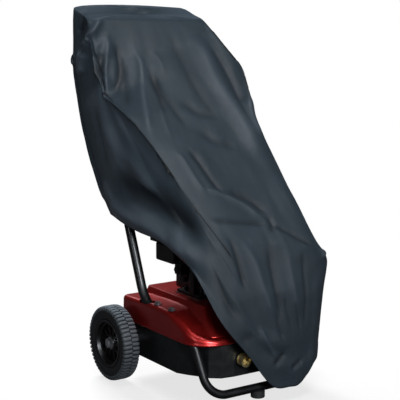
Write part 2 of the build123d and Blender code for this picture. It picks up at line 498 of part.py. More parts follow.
# ---------------------------------------------------------------------------
# cover: thin closed shell, open underneath, standing on the handle and engine
# ---------------------------------------------------------------------------
COLS = [
    [(0, 355, 1010), (0, 352, 900), (0, 346, 825), (0, 330, 765), (0, 302, 675), (0, 256, 578), (0, 208, 497), (0, 161, 430)],
    [(-120, 355, 1010), (-120, 352, 900), (-120, 346, 825), (-120, 330, 765), (-120, 302, 675), (-120, 256, 578), (-120, 208, 497), (-120, 161, 432)],
    [(-180, 353, 1009), (-186, 350, 900), (-188, 345, 825), (-188, 329, 765), (-188, 301, 675), (-188, 254, 578), (-186, 205, 497), (-180, 157, 436)],
    [(-191, 338, 1003), (-194, 334, 900), (-195, 324, 820), (-195, 300, 740), (-195, 262, 650), (-194, 190, 530), (-191, 120, 434)],
    [(-191, 318, 995), (-194, 290, 870), (-194, 190, 680), (-188, -10, 412)],
    [(-191, 300, 988), (-193, 150, 730), (-184, -20, 545), (-167, -140, 392)],
    [(-191, 286, 981), (-191, 185, 770), (-188, 60, 690), (-174, -90, 560), (-164, -190, 430), (-168, -262, 322)],
    [(-190, 274, 977), (-190, 180, 768), (-188, 50, 706), (-173, -78, 620), (-156, -160, 530), (-142, -235, 440), (-138, -292, 340), (-142, -318, 229)],
    [(-189, 266, 974), (-189, 176, 766), (-188, 47, 713), (-174, -72, 630), (-157, -150, 552), (-137, -218, 478), (-117, -290, 385), (-96, -326, 270), (-72, -338, 136)],
    [(-183, 261, 972), (-185, 212, 865), (-184, 168, 765), (-184, 43, 720), (-170, -71, 640), (-152, -147, 562), (-130, -214, 492), (-102, -292, 410), (-56, -328, 286), (-22, -342, 165), (5, -348, 42)],
    [(-100, 258, 973), (-100, 205, 872), (-98, 140, 790), (-95, 32, 722), (-90, -75, 640), (-75, -160, 552), (-55, -230, 478), (-36, -290, 412), (-2, -336, 290), (26, -348, 165), (51, -352, 36)],
    [(0, 257, 974), (0, 190, 880), (5, 100, 795), (8, 0, 705), (10, -100, 610), (12, -190, 515), (17, -255, 447), (36, -310, 398), (58, -344, 290), (70, -352, 165), (76, -352, 36)],
    [(95, 256, 973), (95, 180, 887), (95, 85, 797), (95, -10, 702), (95, -110, 602), (95, -200, 507), (98, -268, 442), (107, -328, 385), (116, -349, 270), (113, -352, 150), (107, -350, 56)],
    [(178, 254, 975), (180, 215, 935), (184, 170, 893), (188, 112, 836), (182, 50, 760), (172, -10, 704), (167, -60, 652), (164, -114, 594), (164, -160, 550), (165, -215, 497), (164, -268, 440), (167, -310, 396), (180, -330, 366), (172, -341, 310), (158, -346, 249), (150, -348, 206), (145, -348, 164), (141, -348, 118), (131, -347, 80)],
    [(189, 266, 976), (196, 236, 956), (201, 205, 933), (205, 168, 903), (208, 125, 870), (209, 82, 836), (208, 60, 808), (206, 33, 763), (204, 7, 701), (204, -23, 661), (207, -66, 609), (207, -109, 556), (206, -150, 508), (202, -202, 460), (197, -245, 415), (196, -272, 388), (204, -306, 361), (204, -316, 346), (203, -306, 320), (201, -296, 283), (200, -291, 231), (200, -286, 187), (199, -282, 144), (197, -279, 93)],
    [(191, 300, 989), (202, 170, 800), (201, 20, 600), (200, -120, 380), (199, -170, 150)],
    [(191, 330, 1001), (198, 220, 750), (197, 90, 500), (199, -10, 300)],
    [(188, 350, 1008), (190, 346, 900), (191, 340, 825), (191, 322, 765), (191, 290, 675), (191, 244, 578), (190, 196, 497), (188, 148, 430)],
    [(120, 355, 1010), (120, 352, 900), (120, 346, 825), (120, 330, 765), (120, 302, 675), (120, 256, 578), (120, 208, 497), (120, 161, 432)],
]


def resample(pts, k):
    acc = [0.0]
    for a, b in zip(pts, pts[1:]):
        acc.append(acc[-1] + math.dist(a, b))
    out = []
    for i in range(k):
        s = acc[-1] * i / (k - 1)
        j = 0
        while j < len(acc) - 2 and acc[j + 1] < s:
            j += 1
        f = (s - acc[j]) / (acc[j + 1] - acc[j])
        out.append(tuple(pts[j][q] + f * (pts[j + 1][q] - pts[j][q]) for q in range(3)))
    return out


def catmull(p0, p1, p2, p3, t):
    def tj(a, b):
        return max(math.dist(a, b), 1e-6) ** 0.5
    t1 = tj(p0, p1)
    t2 = t1 + tj(p1, p2)
    t3 = t2 + tj(p2, p3)
    u = t1 + t * (t2 - t1)
    mix = lambda a, b, ta, tb: tuple(((tb - u) * a[q] + (u - ta) * b[q]) / (tb - ta) for q in range(3))
    a1, a2, a3 = mix(p0, p1, 0, t1), mix(p1, p2, t1, t2), mix(p2, p3, t2, t3)
    b1, b2 = mix(a1, a2, 0, t2), mix(a2, a3, t1, t3)
    return mix(b1, b2, t1, t2)


rows_pts = [resample(c, COVER_ROWS) for c in COLS]
K = len(COLS)
grid = []
for j in range(COVER_ROWS):
    line = [rows_pts[k][j] for k in range(K)]
    pts = []
    for k in range(K):
        p0, p1, p2, p3 = line[(k - 1) % K], line[k], line[(k + 1) % K], line[(k + 2) % K]
        pts.append(p1)
        if math.dist(rows_pts[k][0], rows_pts[(k + 1) % K][0]) > 50 or math.dist(p1, p2) > 70:
            pts.append(catmull(p0, p1, p2, p3, 0.5))
        else:
            pts.append(None)
    grid.append(pts)
keep = [i for i in range(2 * K) if all(g[i] is not None for g in grid) or i % 2 == 0]
for g in grid:
    for i in keep:
        if g[i] is None:
            a, b = g[i - 1], g[(i + 1) % (2 * K)]
            g[i] = tuple((a[q] + b[q]) / 2 for q in range(3))
grid = [[g[i] for i in keep] for g in grid]
NC = len(keep)
top_c = (0.0, 308.0, 996.0)


def sub(a, b):
    return (a[0] - b[0], a[1] - b[1], a[2] - b[2])


def cross(a, b):
    return (a[1] * b[2] - a[2] * b[1], a[2] * b[0] - a[0] * b[2], a[0] * b[1] - a[1] * b[0])


def unit(a):
    m = math.sqrt(a[0] ** 2 + a[1] ** 2 + a[2] ** 2) or 1.0
    return (a[0] / m, a[1] / m, a[2] / m)


tris = []
idx = lambda j, i: 1 + j * NC + (i % NC)
verts = [top_c] + [p for g in grid for p in g]
for i in range(NC):
    tris.append((0, idx(0, i + 1), idx(0, i)))
for j in range(COVER_ROWS - 1):
    for i in range(NC):
        a, b, c_, e = idx(j, i), idx(j, i + 1), idx(j + 1, i + 1), idx(j + 1, i)
        tris.append((a, b, c_))
        tris.append((a, c_, e))
norm = [[0.0, 0.0, 0.0] for _ in verts]
for t in tris:
    m = cross(sub(verts[t[1]], verts[t[0]]), sub(verts[t[2]], verts[t[0]]))
    for v in t:
        for q in range(3):
            norm[v][q] += m[q]
norm = [unit(m) for m in norm]
mid = (0.0, 0.0, 500.0)
flip = sum((v[q] - mid[q]) * m[q] for v, m in zip(verts, norm) for q in range(3)) < 0
if flip:
    norm = [(-m[0], -m[1], -m[2]) for m in norm]
inner_v = [tuple(v[q] - COVER_T * m[q] for q in range(3)) for v, m in zip(verts, norm)]
NV = len(verts)
allv = verts + inner_v
faces = [t for t in tris] + [(a + NV, c_ + NV, b + NV) for a, b, c_ in tris]
last = COVER_ROWS - 1
for i in range(NC):
    a, b = idx(last, i), idx(last, i + 1)
    faces.append((a, b, b + NV))
    faces.append((a, b + NV, a + NV))
tri_faces = [Face(Wire.make_polygon([Vector(*allv[q]) for q in f], close=True)) for f in faces]
cover = Solid(Shell(tri_faces))
if cover.volume < 0:
    cover = Solid(Shell([-f for f in tri_faces]))
PARTS["cover"] = cover

# ---------------------------------------------------------------------------
os.makedirs("parts", exist_ok=True)
for name, shape in PARTS.items():
    solids = shape.solids()
    if len(solids) == 1:
        shape = solids[0]
    else:
        shape = Compound(children=list(solids))
    export_step(shape, "parts/" + name + ".step")
print(len(PARTS), "nodes")
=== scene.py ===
import bpy, bmesh, math, json
import numpy as np
from mathutils import Vector, Matrix
from mathutils.bvhtree import BVHTree


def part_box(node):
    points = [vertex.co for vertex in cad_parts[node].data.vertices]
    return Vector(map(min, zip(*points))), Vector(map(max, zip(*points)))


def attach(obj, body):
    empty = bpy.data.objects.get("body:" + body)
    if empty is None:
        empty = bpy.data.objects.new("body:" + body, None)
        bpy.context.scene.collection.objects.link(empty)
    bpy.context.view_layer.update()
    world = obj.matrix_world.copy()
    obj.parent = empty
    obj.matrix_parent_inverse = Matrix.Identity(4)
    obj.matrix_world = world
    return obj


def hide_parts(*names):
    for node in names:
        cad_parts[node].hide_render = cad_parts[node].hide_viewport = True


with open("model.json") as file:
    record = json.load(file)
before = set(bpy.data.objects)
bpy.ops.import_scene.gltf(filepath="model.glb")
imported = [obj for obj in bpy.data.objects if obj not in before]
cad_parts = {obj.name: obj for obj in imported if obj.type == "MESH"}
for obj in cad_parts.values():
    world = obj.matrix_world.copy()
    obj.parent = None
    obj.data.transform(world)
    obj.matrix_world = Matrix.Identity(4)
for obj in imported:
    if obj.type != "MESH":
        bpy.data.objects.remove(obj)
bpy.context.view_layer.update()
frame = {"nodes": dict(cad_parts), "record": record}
NODES = frame["nodes"]
RNG = np.random.RandomState(11)

# ---------------------------------------------------------------- cover shape
# Column lines of the cover from its top edge down to its hem, in millimetres,
# going round from the middle of the back, over the left side and the front.
COLS = [
    [(0, 355, 1010), (0, 352, 900), (0, 346, 825), (0, 330, 765), (0, 302, 675), (0, 256, 578), (0, 208, 497), (0, 161, 430)],
    [(-120, 355, 1010), (-120, 352, 900), (-120, 346, 825), (-120, 330, 765), (-120, 302, 675), (-120, 256, 578), (-120, 208, 497), (-120, 161, 432)],
    [(-180, 353, 1009), (-186, 350, 900), (-188, 345, 825), (-188, 329, 765), (-188, 301, 675), (-188, 254, 578), (-186, 205, 497), (-180, 157, 436)],
    [(-191, 338, 1003), (-194, 334, 900), (-195, 324, 820), (-195, 300, 740), (-195, 262, 650), (-194, 190, 530), (-191, 120, 434)],
    [(-191, 318, 995), (-194, 290, 870), (-194, 190, 680), (-188, -10, 412)],
    [(-191, 300, 988), (-193, 150, 730), (-184, -20, 545), (-167, -140, 392)],
    [(-191, 286, 981), (-191, 185, 770), (-188, 60, 690), (-174, -90, 560), (-164, -190, 430), (-168, -262, 322)],
    [(-190, 274, 977), (-190, 180, 768), (-188, 50, 706), (-173, -78, 620), (-156, -160, 530), (-142, -235, 440), (-138, -292, 340), (-142, -318, 229)],
    [(-189, 266, 974), (-189, 176, 766), (-188, 47, 713), (-174, -72, 630), (-157, -150, 552), (-137, -218, 478), (-117, -290, 385), (-96, -326, 270), (-72, -338, 136)],
    [(-183, 261, 972), (-185, 212, 865), (-184, 168, 765), (-184, 43, 720), (-170, -71, 640), (-152, -147, 562), (-130, -214, 492), (-102, -292, 410), (-56, -328, 286), (-22, -342, 165), (5, -348, 42)],
    [(-100, 258, 973), (-100, 205, 872), (-98, 140, 790), (-95, 32, 722), (-90, -75, 640), (-75, -160, 552), (-55, -230, 478), (-36, -290, 412), (-2, -336, 290), (26, -348, 165), (51, -352, 36)],
    [(0, 257, 974), (0, 190, 880), (5, 100, 795), (8, 0, 705), (10, -100, 610), (12, -190, 515), (17, -255, 447), (36, -310, 398), (58, -344, 290), (70, -352, 165), (76, -352, 36)],
    [(95, 256, 973), (95, 180, 887), (95, 85, 797), (95, -10, 702), (95, -110, 602), (95, -200, 507), (98, -268, 442), (107, -328, 385), (116, -349, 270), (113, -352, 150), (107, -350, 56)],
    [(178, 254, 975), (180, 215, 935), (184, 170, 893), (188, 112, 836), (182, 50, 760), (172, -10, 704), (167, -60, 652), (164, -114, 594), (164, -160, 550), (165, -215, 497), (164, -268, 440), (167, -310, 396), (180, -330, 366), (172, -341, 310), (158, -346, 249), (150, -348, 206), (145, -348, 164), (141, -348, 118), (131, -347, 80)],
    [(189, 266, 976), (196, 236, 956), (201, 205, 933), (205, 168, 903), (208, 125, 870), (209, 82, 836), (208, 60, 808), (206, 33, 763), (204, 7, 701), (204, -23, 661), (207, -66, 609), (207, -109, 556), (206, -150, 508), (202, -202, 460), (197, -245, 415), (196, -272, 388), (204, -306, 361), (204, -316, 346), (203, -306, 320), (201, -296, 283), (200, -291, 231), (200, -286, 187), (199, -282, 144), (197, -279, 93)],
    [(191, 300, 989), (202, 170, 800), (201, 20, 600), (200, -120, 380), (199, -170, 150)],
    [(191, 330, 1001), (198, 220, 750), (197, 90, 500), (199, -10, 300)],
    [(188, 350, 1008), (190, 346, 900), (191, 340, 825), (191, 322, 765), (191, 290, 675), (191, 244, 578), (190, 196, 497), (188, 148, 430)],
    [(120, 355, 1010), (120, 352, 900), (120, 346, 825), (120, 330, 765), (120, 302, 675), (120, 256, 578), (120, 208, 497), (120, 161, 432)],
]
TOP_MID = np.array([0.0, 308.0, 997.0])
NROW = 230
PER = [10, 8, 6, 10, 14, 14, 12, 10, 12, 20, 20, 20, 18, 12, 16, 12, 10, 8, 10]


def resample(pts, k, smooth):
    p = np.array(pts, float)
    s = np.concatenate([[0], np.cumsum(np.linalg.norm(np.diff(p, axis=0), axis=1))])
    m = 600
    t = np.linspace(0, s[-1], m)
    q = np.stack([np.interp(t, s, p[:, i]) for i in range(3)], 1)
    sig = smooth / (s[-1] / (m - 1))
    half = int(3 * sig) + 1
    ker = np.exp(-0.5 * (np.arange(-half, half + 1) / sig) ** 2)
    ker /= ker.sum()
    head = 2 * q[0] - q[half:0:-1]
    tail = 2 * q[-1] - q[-2:-half - 2:-1]
    w = np.vstack([head, q, tail])
    r = np.stack([np.convolve(w[:, i], ker, mode="valid") for i in range(3)], 1)
    f = np.linspace(0, m - 1, k)
    return np.stack([np.interp(f, np.arange(m), r[:, i]) for i in range(3)], 1)


def catmull(p0, p1, p2, p3, t):
    def knot(a, b):
        return np.sqrt(np.maximum(np.linalg.norm(b - a, axis=-1, keepdims=True), 1e-3))
    t1 = knot(p0, p1)
    t2 = t1 + knot(p1, p2)
    t3 = t2 + knot(p2, p3)
    u = t1 + t * (t2 - t1)
    a1 = ((t1 - u) * p0 + u * p1) / t1
    a2 = ((t2 - u) * p1 + (u - t1) * p2) / (t2 - t1)
    a3 = ((t3 - u) * p2 + (u - t2) * p3) / (t3 - t2)
    b1 = ((t2 - u) * a1 + u * a2) / t2
    b2 = ((t3 - u) * a2 + (u - t1) * a3) / (t3 - t1)
    return ((t2 - u) * b1 + (u - t1) * b2) / (t2 - t1)


def cover_base(nrow=NROW, per=PER):
    """Grid of points [row, column, xyz] in millimetres, closed round the columns."""
    lines = [resample(c, nrow, 9.0) for c in COLS]
    k = len(lines)
    cols = []
    for i in range(k):
        p0, p1, p2, p3 = lines[i - 1], lines[i], lines[(i + 1) % k], lines[(i + 2) % k]
        for j in range(per[i]):
            cols.append(catmull(p0, p1, p2, p3, j / per[i]))
    return np.stack(cols, 1)


def grid_normals(g):
    du = np.roll(g, -1, 1) - np.roll(g, 1, 1)
    dv = np.gradient(g, axis=0)
    n = np.cross(du, dv)
    n /= np.maximum(np.linalg.norm(n, axis=-1, keepdims=True), 1e-9)
    c = g - np.array([0.0, -40.0, 560.0])
    if (n * c).sum(-1).mean() < 0:
        n = -n
    return n


def smooth_path(p, sigma, ring):
    """Gaussian smoothing by arc length along axis 0 of one line of points."""
    q = np.vstack([p, p[:1]]) if ring else p
    s = np.concatenate([[0], np.cumsum(np.linalg.norm(np.diff(q, axis=0), axis=1))])
    step = 1.5
    m = int(s[-1] / step) + 1
    t = np.linspace(0, s[-1], m)
    u = np.stack([np.interp(t, s, q[:, i]) for i in range(3)], 1)
    half = int(3 * sigma / (t[1] - t[0])) + 1
    ker = np.exp(-0.5 * (np.arange(-half, half + 1) * (t[1] - t[0]) / sigma) ** 2)
    ker /= ker.sum()
    if ring:
        w = np.vstack([u[-half - 1:-1], u, u[1:half + 1]])
    else:
        w = np.vstack([2 * u[0] - u[half:0:-1], u, 2 * u[-1] - u[-2:-half - 2:-1]])
    r = np.stack([np.convolve(w[:, i], ker, mode="valid") for i in range(3)], 1)
    return np.stack([np.interp(s[:len(p)], t, r[:, i]) for i in range(3)], 1)


def round_corner(g):
    """The left front corner of the cover is a soft roll, sharper near the top."""
    nr, nc = g.shape[:2]
    c = sum(PER[:8]) + PER[8] // 2
    v = np.arange(nr) / (nr - 1)
    amount = np.interp(v, [0.0, 0.20, 0.34, 0.72, 0.86, 1.0], [0, 0, 1, 1, 0, 0])
    edge = g[:, c]
    flat = g.reshape(-1, 3)
    line = edge[::3]
    d = np.full(len(flat), 1e9)
    for p in line:
        d = np.minimum(d, ((flat - p) ** 2).sum(1))
    d = np.sqrt(d)
    du = np.linalg.norm(np.roll(g, -1, 1) - np.roll(g, 1, 1), axis=2) / 2
    dv = np.linalg.norm(np.gradient(g, axis=0), axis=2)
    area_w = (du * dv).reshape(-1)
    weight = np.clip((92.0 - d) / 34.0, 0, 1)
    weight = weight * weight * (3 - 2 * weight) * np.repeat(amount, nc)
    target = np.where(weight > 0.001)[0]
    source = np.where(d < 170.0)[0]
    src, sw = flat[source], area_w[source]
    sq = (src ** 2).sum(1)
    sigma = 23.0
    out = flat.copy()
    for k in range(0, len(target), 400):
        t = target[k:k + 400]
        p = flat[t]
        dist = (p ** 2).sum(1)[:, None] + sq[None, :] - 2 * p @ src.T
        w = np.exp(-dist / (2 * sigma * sigma)) * sw[None, :]
        w /= w.sum(1, keepdims=True)
        out[t] = p + (w @ src - p) * weight[t][:, None]
    return out.reshape(g.shape)

# fold lines on the cover: name, points on the surface (mm), height (mm, + stands proud), width (mm)
SEAM_MAIN = [(-189, 170, 768), (-187, 158, 761), (-181, 10, 683), (-162, -118, 579), (-139, -200, 496), (-104, -281, 406), (-94, -294, 385)]
FOLDS = [
    ('wrap_ridge', [(-148, 258, 972), (-182, 243, 933), (-193, 276, 882)], 22, 10),
    ('pocket', [(-191, 287, 981), (-191, 285, 959), (-193, 309, 925)], -10, 12),
    # tint entries have no shape: the pocket line is painted shade, the band and low lines are painted highlight on
    # the side panel
    ('tint_pocket', [(-190, 275, 977), (-191, 269, 953), (-193, 304, 915)], -1, 13),
    ('tint_band', [(-190, 131, 725), (-186, 42, 666), (-178, -44, 604), (-167, -114, 554)], 1, 22),
    ('tint_low', [(-190, 56, 485), (-179, -50, 459), (-171, -147, 431), (-158, -234, 392)], 1, 24),
    ('tri_ridge', [(-139, 235, 924), (-154, 214, 880), (-174, 191, 826), (-184, 165, 766)], 11, 11),
    ('tri_valley', [(-119, 225, 907), (-124, 194, 852), (-143, 169, 803), (-173, 149, 761)], -10, 14),
    ('side_v', [(-175, 209, 864), (-189, 203, 834), (-193, 226, 804)], -5, 7),
    ('pinch_dark', [(-186, 198, 833), (-187, 186, 801), (-189, 170, 768)], -8, 7),
    ('soft_wrap_lift', [(-193, 281, 881), (-195, 293, 846), (-196, 291, 809)], 14, 20),
    ('soft_wrap_in', [(-167, 215, 879), (-178, 201, 845), (-187, 187, 804)], -12, 18),
    ('left_knob', [(-195, 327, 871), (-193, 336, 856), (-194, 330, 836)], 10, 9),
    ('wrap_fold2', [(-192, 246, 882), (-180, 224, 894), (-139, 235, 924)], 3, 7),
    ('ridge_c', [(-76, 212, 892), (-70, 177, 847), (-102, 114, 772), (-146, 18, 704), (-162, -30, 663)], 10, 13),
    ('valley_c', [(-114, 193, 853), (-133, 155, 788), (-165, 87, 738)], -5, 12),
    ('valley_c2', [(-48, 151, 827), (-67, 89, 766), (-85, 24, 717)], -6, 14),
    ('ridge_d', [(-20, 196, 884), (-13, 163, 851), (-22, 135, 821)], 3, 7),
    ('valley_d', [(-44, 172, 851), (-52, 123, 797), (-50, 45, 737), (-42, -27, 678)], -4, 14),
    ('crease_e', [(-68, 119, 787), (-76, 74, 753), (-99, 9, 704), (-111, -48, 660)], 4, 6),
    ('pinch_f', [(-115, -80, 633), (-109, -113, 600), (-102, -152, 558), (-92, -184, 525)], 5, 8),
    ('pinch_f_dark', [(-80, -78, 636), (-65, -111, 602), (-56, -147, 565), (-40, -186, 523)], -6, 13),
    ('soft_right_roll', [(126, 220, 936), (128, 161, 874), (122, 90, 803), (134, 16, 728), (134, -60, 655), (139, -125, 588)], 13, 24),
    ('right_dark', [(167, 187, 905), (172, 116, 835), (173, 41, 750), (155, -37, 678)], -5, 16),
    ('right_c1', [(208, 110, 858), (209, 83, 836), (207, 58, 804)], 4, 10),
    ('right_c2', [(196, 36, 760), (178, -20, 692), (174, -67, 641)], 11, 24),
    ('right_valley', [(58, 224, 934), (53, 149, 851), (51, 63, 770), (65, -18, 692)], -3, 25),
    ('soft_cross', [(-14, 57, 753), (12, 17, 720), (69, -3, 707)], -3, 16),
    ('soft_cross2', [(-11, -28, 677), (18, -62, 646), (79, -79, 632)], -3, 16),
    ('break', [(-114, -231, 470), (-59, -244, 462), (3, -249, 453), (54, -256, 450)], -6, 8),
    ('break_r', [(58, -259, 447), (93, -283, 428), (122, -305, 407), (156, -323, 385)], -6, 9),
    ('ridge_j', [(-91, -170, 540), (-40, -189, 519), (10, -214, 490), (45, -249, 455)], 6, 9),
    ('valley_j', [(-25, -179, 529), (29, -199, 506), (64, -237, 469)], -6, 14),
    ('knot', [(56, -241, 464), (62, -259, 447), (46, -275, 431)], -5, 9),
    ('valley_k', [(-85, -267, 433), (-81, -285, 409), (-75, -305, 360), (-70, -322, 300)], -7, 9),
    ('ridge_l', [(-56, -278, 423), (-31, -307, 366), (-17, -331, 295), (8, -343, 210)], 6, 14),
    ('valley_l', [(24, -286, 419), (15, -317, 357), (17, -339, 285), (30, -345, 214)], -5, 12),
    ('ridge_m', [(66, -293, 417), (64, -327, 356), (70, -345, 280), (78, -350, 214)], 4, 14),
    ('tuck_m', [(-96, -333, 173), (-76, -335, 180), (-52, -338, 190)], -6, 5),
    ('tuck_n', [(1, -346, 100), (20, -348, 113), (37, -350, 128)], -7, 6),
    ('tuck_o', [(55, -351, 81), (72, -352, 92), (92, -352, 101)], -6, 6),
    ('wr_1', [(40, -343, 271), (45, -346, 235), (58, -350, 189)], -3, 6),
    ('wr_2', [(67, -347, 258), (77, -349, 225), (85, -352, 180)], -3, 6),
    ('wr_3', [(16, -342, 235), (21, -345, 199), (32, -349, 159)], -3, 6),
    ('low_l', [(-34, -337, 207), (-13, -343, 153), (17, -348, 113)], 4, 8),
    ('soft_side_crest', [(-192, 150, 696), (-190, 89, 628), (-186, 6, 565), (-177, -80, 510)], 8, 24),
    ('soft_side_valley', [(-192, 121, 557), (-190, 61, 529), (-183, -20, 507), (-174, -113, 482), (-161, -188, 447), (-153, -236, 402)], -20, 28),
    ('soft_side_low', [(-194, 141, 489), (-192, 68, 452), (-182, -38, 431), (-168, -130, 405), (-167, -219, 381), (-152, -267, 353)], 20, 24),
    ('side_edge', [(-195, 165, 537), (-194, 131, 490), (-193, 90, 449)], 8, 16),
    ('side_v2', [(-194, 203, 724), (-193, 160, 640), (-192, 122, 559)], -6, 18),
    ('side_low', [(-142, -272, 372), (-131, -307, 302), (-103, -326, 233)], -5, 12),
    ('right_edge_dark', [(112, -310, 402), (105, -337, 332), (105, -349, 255), (97, -352, 180)], -3, 10),
    ('hem_point', [(170, -327, 374), (184, -324, 368), (173, -334, 357)], 8, 10),
    ('soft_bulge', [(-193, 235, 789), (-194, 188, 690), (-192, 131, 586), (-191, 72, 506)], 14, 52),
]


# ------------------------------------------------------------------ materials
def lin(r, g, b):
    f = lambda c: c / 12.92 if c <= 0.04045 else ((c + 0.055) / 1.055) ** 2.4
    return (f(r / 255), f(g / 255), f(b / 255), 1.0)


class Mat:
    """Small helper round a node tree."""

    def __init__(self, name):
        self.m = bpy.data.materials.new(name)
        self.m.use_nodes = True
        self.t = self.m.node_tree
        self.t.nodes.clear()
        self.out = self.n("ShaderNodeOutputMaterial")
        self.bsdf = self.n("ShaderNodeBsdfPrincipled")
        self.t.links.new(self.bsdf.outputs[0], self.out.inputs[0])
        self.co = self.n("ShaderNodeTexCoord").outputs["Object"]

    def n(self, kind, **kw):
        x = self.t.nodes.new(kind)
        for k, v in kw.items():
            setattr(x, k, v)
        return x

    def link(self, a, b):
        self.t.links.new(a, b)

    def set(self, key, val):
        s = self.bsdf.inputs[key]
        if hasattr(val, "is_output") or isinstance(val, bpy.types.NodeSocket):
            self.link(val, s)
        else:
            s.default_value = val

    def noise(self, scale, detail=4.0, rough=0.55, vec=None, stretch=None, distortion=0.0):
        x = self.n("ShaderNodeTexNoise")
        x.inputs["Scale"].default_value = scale
        x.inputs["Detail"].default_value = detail
        x.inputs["Roughness"].default_value = rough
        x.inputs["Distortion"].default_value = distortion
        v = vec or self.co
        if stretch:
            mp = self.n("ShaderNodeMapping")
            mp.inputs["Scale"].default_value = stretch
            self.link(v, mp.inputs["Vector"])
            v = mp.outputs[0]
        self.link(v, x.inputs["Vector"])
        return x.outputs["Fac"]

    def wave(self, scale, direction, vec=None, distortion=0.0, detail=0.0, rot=None):
        x = self.n("ShaderNodeTexWave", wave_type="BANDS", bands_direction=direction)
        x.inputs["Scale"].default_value = scale
        x.inputs["Distortion"].default_value = distortion
        x.inputs["Detail"].default_value = detail
        v = vec or self.co
        if rot:
            mp = self.n("ShaderNodeMapping")
            mp.inputs["Rotation"].default_value = rot
            self.link(v, mp.inputs["Vector"])
            v = mp.outputs[0]
        self.link(v, x.inputs["Vector"])
        return x.outputs["Fac"]

    def ramp(self, fac, stops):
        x = self.n("ShaderNodeValToRGB")
        e = x.color_ramp.elements
        while len(e) < len(stops):
            e.new(0.5)
        for k, (p, c) in enumerate(stops):
            e[k].position = p
            e[k].color = c if len(c) == 4 else (*c, 1.0)
        self.link(fac, x.inputs[0])
        return x.outputs[0]

    def mix(self, fac, a, b, mode="MIX"):
        x = self.n("ShaderNodeMix", data_type="RGBA", blend_type=mode)
        for s, v in ((x.inputs[0], fac), (x.inputs[6], a), (x.inputs[7], b)):
            if isinstance(v, bpy.types.NodeSocket):
                self.link(v, s)
            else:
                s.default_value = v
        return x.outputs[2]

    def math(self, op, a, b=0.0, c=0.0, clamp=False):
        x = self.n("ShaderNodeMath", operation=op, use_clamp=clamp)
        for s, v in zip(x.inputs, (a, b, c)):
            if isinstance(v, bpy.types.NodeSocket):
                self.link(v, s)
            else:
                s.default_value = v
        return x.outputs[0]

    def range(self, v, a, b, c, d):
        x = self.n("ShaderNodeMapRange")
        for s, q in zip(x.inputs, (v, a, b, c, d)):
            if isinstance(q, bpy.types.NodeSocket):
                self.link(q, s)
            else:
                s.default_value = q
        return x.outputs[0]

    def attr(self, name):
        return self.n("ShaderNodeAttribute", attribute_name=name).outputs["Fac"]

    def bump(self, height, strength, distance, prev=None):
        x = self.n("ShaderNodeBump")
        x.inputs["Strength"].default_value = strength
        x.inputs["Distance"].default_value = distance
        self.link(height, x.inputs["Height"])
        if prev is not None:
            self.link(prev, x.inputs["Normal"])
        return x.outputs[0]

    def edge(self, radius):
        """0 on flats, rising to 1 on convex edges."""
        b = self.n("ShaderNodeBevel", samples=3)
        b.inputs["Radius"].default_value = radius
        g = self.n("ShaderNodeNewGeometry")
        d = self.n("ShaderNodeVectorMath", operation="DOT_PRODUCT")
        self.link(b.outputs[0], d.inputs[0])
        self.link(g.outputs["Normal"], d.inputs[1])
        return self.range(d.outputs["Value"], 0.985, 0.80, 0.0, 1.0)


